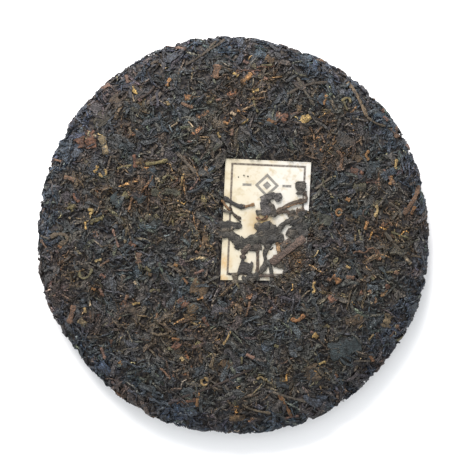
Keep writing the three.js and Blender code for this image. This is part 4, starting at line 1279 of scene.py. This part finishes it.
paper_finish, tree, paper_shader = new_finish("paper_finish")
patch = add(tree, "ShaderNodeUVMap", uv_map="OFBake").outputs["UV"]
place = add(tree, "ShaderNodeTexCoord").outputs["Object"]
split = add(tree, "ShaderNodeSeparateXYZ")
feed(split.inputs[0], patch)
mm_x = math_node("MULTIPLY", split.outputs["X"], PAPER_SIZE[0])
mm_y = math_node("MULTIPLY", split.outputs["Y"], PAPER_SIZE[1])
broad = noise_at(place, BROAD, 4.0)
mottles = noise_at(place, MOTTLES, 4.0)
fibres = noise_at(place, FIBRES, 3.0)


def off(position, middle):
    """How far a position is from the middle, to either side."""
    return math_node("ABSOLUTE", math_node("SUBTRACT", position, middle))


def inked(distance, half_width):
    """1 where a distance is less than half_width, with a soft edge."""
    return ramp(distance, half_width - EDGE_SOFTNESS, half_width + EDGE_SOFTNESS, 1, 0)


def box_distance(cx, cy, hx, hy):
    """Distance outside a box that is given by its middle and its half sizes; below 0 inside it."""
    across = math_node("SUBTRACT", off(mm_x, cx), hx)
    upward = math_node("SUBTRACT", off(mm_y, cy), hy)
    return math_node("MAXIMUM", across, upward)


def spot(cx, cy, radius):
    """A round stain: 1 in its middle, fading to 0 at its radius."""
    dx, dy = off(mm_x, cx), off(mm_y, cy)
    squares = math_node("ADD", math_node("MULTIPLY", dx, dx), math_node("MULTIPLY", dy, dy))
    return ramp(math_node("SQRT", squares), STAIN_CORE * radius, radius, 1, 0)


print("paper finish starts with", len(tree.nodes), "nodes")

# %% [markdown]
# The paper's colour is built up in layers, in the order in which they came: cream that turns whiter to the
# right, a mottle all over, one large stain, stained edges, and the ink, which the fibres break a little.

# %% Paper colours and print
CREAM, CREAM_AGED = (180, 174, 155), (174, 164, 140)
WHITE, WHITE_AGED = (187, 186, 182), (183, 178, 166)
MOTTLE = (158, 145, 116)
STAIN_TAN, EDGE_TAN = (152, 128, 80), (168, 132, 72)
BORDER_INK, DESIGN_INK = (70, 61, 54), (92, 90, 86)
WHITE_FROM, WHITE_TO = 4, 38
# Middle and radius of each stain.
STAIN = (18.6, 29.6, 9)
LEFT_STAIN, CORNER_STAIN = (1.6, 8.6, 5), (1.2, 0.8, 3)
STAIN_STRENGTH = 0.95
# Middle and half sizes of the border, then its half width.
BORDER_BOX = (21.9, 30.9, 18.4, 27.9)
BORDER_HALF_WIDTH = 0.55
LOZENGE_MIDDLE = (21.5, 48.5)
LOZENGE_RING, RING_HALF_WIDTH = 5.2, 0.95
LOZENGE_HEART, HEART_GROWN = 1.6, 0.6
BAR_MIDDLES = (11.4, 31.6)
BAR_HALF_SIZE = (2.2, 0.55)
BAR_GROWN = 0.1

aged = ramp(broad, 0.35, 0.7, 0, 1)
cream = blend(aged, CREAM, CREAM_AGED)
white = blend(aged, WHITE, WHITE_AGED)
paper = blend(ramp(mm_x, WHITE_FROM, WHITE_TO, 0, 1), cream, white)
paper = blend(ramp(mottles, 0.5, 0.72, 0, 0.75), paper, MOTTLE)
stain = math_node("MULTIPLY", spot(*STAIN), ramp(broad, 0.3, 0.6, 0.6, 1))
paper = blend(math_node("MULTIPLY", stain, STAIN_STRENGTH), paper, STAIN_TAN)
edge = math_node("MAXIMUM", spot(*LEFT_STAIN), spot(*CORNER_STAIN))
edge = math_node("MULTIPLY", edge, ramp(fibres, 0.3, 0.7, 0.2, 0.8))
paper = blend(edge, paper, EDGE_TAN)

border = inked(math_node("ABSOLUTE", box_distance(*BORDER_BOX)), BORDER_HALF_WIDTH)
lozenge = math_node("ADD", off(mm_x, LOZENGE_MIDDLE[0]), off(mm_y, LOZENGE_MIDDLE[1]))
heart = inked(math_node("SUBTRACT", lozenge, LOZENGE_HEART), HEART_GROWN)
design = math_node("MAXIMUM", inked(off(lozenge, LOZENGE_RING), RING_HALF_WIDTH), heart)
for bar_middle in BAR_MIDDLES:
    bar = box_distance(bar_middle, LOZENGE_MIDDLE[1], *BAR_HALF_SIZE)
    design = math_node("MAXIMUM", design, inked(bar, BAR_GROWN))
worn = ramp(fibres, 0.3, 0.65, 0.7, 1.0)
paper = blend(math_node("MULTIPLY", border, worn), paper, BORDER_INK)
paper = blend(math_node("MULTIPLY", design, worn), paper, DESIGN_INK)
surface(paper_shader, paper, 0.85)
bumped(paper_shader, fibres, 0.3, 0.1)
ticket.data.materials.append(paper_finish)
print("paper finish has", len(tree.nodes), "nodes")

# %% [markdown]
# Hand the pieces over: everything rides on the cake's one body, the core and the leaves stand for the solid
# cake, and the paper for the solid ticket.

# %% Pieces of the part
for piece in [core, cover, fused] + heap:
    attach(piece, "root")
    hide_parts("pressed_tea")
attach(ticket, "root")
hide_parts("inner_ticket")

# %% [markdown]
# A plain white floor, one soft light low over the upper edge of the picture, a little to the left, and an
# even pale surround, with the camera straight above on a long lens, a little off the middle of the cake. The
# low light draws out each leaf, and the bright surround keeps the gaps and the floor from going dark.

# %% Floor, light and camera
# Millimetres to a pixel of the picture, pixels along its side, and the camera's place off the cake's middle.
PIXEL = 0.5056
FRAME = 460
CAMERA_PIXELS = (-3, 5)
CAMERA_HEIGHT = 1.2
SENSOR = 36
FLOOR_SIZE = 6
FLOOR_WHITE = (0.95, 0.95, 0.95, 1)
SURROUND = (0.955, 0.975, 1.0, 1)
SURROUND_STRENGTH = 1.12
LAMP_PLACE = (-0.33, 1.04, 0.64)
LAMP_SIZE = 0.8
LAMP_POWER = 38
LAMP_TINT = (1.0, 0.955, 0.94)

start_clean()
bpy.ops.mesh.primitive_plane_add(size=FLOOR_SIZE)
floor = bpy.context.object
floor.name = "floor"
finish, _, shader = new_finish("floor_white")
surface(shader, FLOOR_WHITE, 0.9)
floor.data.materials.append(finish)

world = bpy.data.worlds.new("studio")
bpy.context.scene.world = world
world.use_nodes = True
surround = world.node_tree.nodes["Background"]
feed(surround.inputs["Color"], SURROUND)
feed(surround.inputs["Strength"], SURROUND_STRENGTH)

start_clean()
bpy.ops.object.light_add(type="AREA", location=LAMP_PLACE)
lamp = bpy.context.object
lamp.name = "window"
lamp.data.size = LAMP_SIZE
lamp.data.energy = LAMP_POWER
lamp.data.color = LAMP_TINT
way = -np.array(LAMP_PLACE)
lean = math.acos(-way[2] / np.linalg.norm(way))
lamp.rotation_euler = (lean, 0, math.atan2(way[1], way[0]) + math.pi / 2 + math.pi)

camera_x, camera_y = (pixels * PIXEL * MM for pixels in CAMERA_PIXELS)
bpy.ops.object.camera_add(location=(camera_x, camera_y, CAMERA_HEIGHT), rotation=(0, 0, 0))
camera = bpy.context.object
camera.data.sensor_width = SENSOR
camera.data.lens = SENSOR * (CAMERA_HEIGHT - RIM_HEIGHT * MM) / (FRAME * PIXEL * MM)
camera.data.clip_end = 20
bpy.context.scene.camera = camera
bpy.context.scene.view_settings.view_transform = "Standard"
print("camera lens", round(camera.data.lens, 1), "mm")
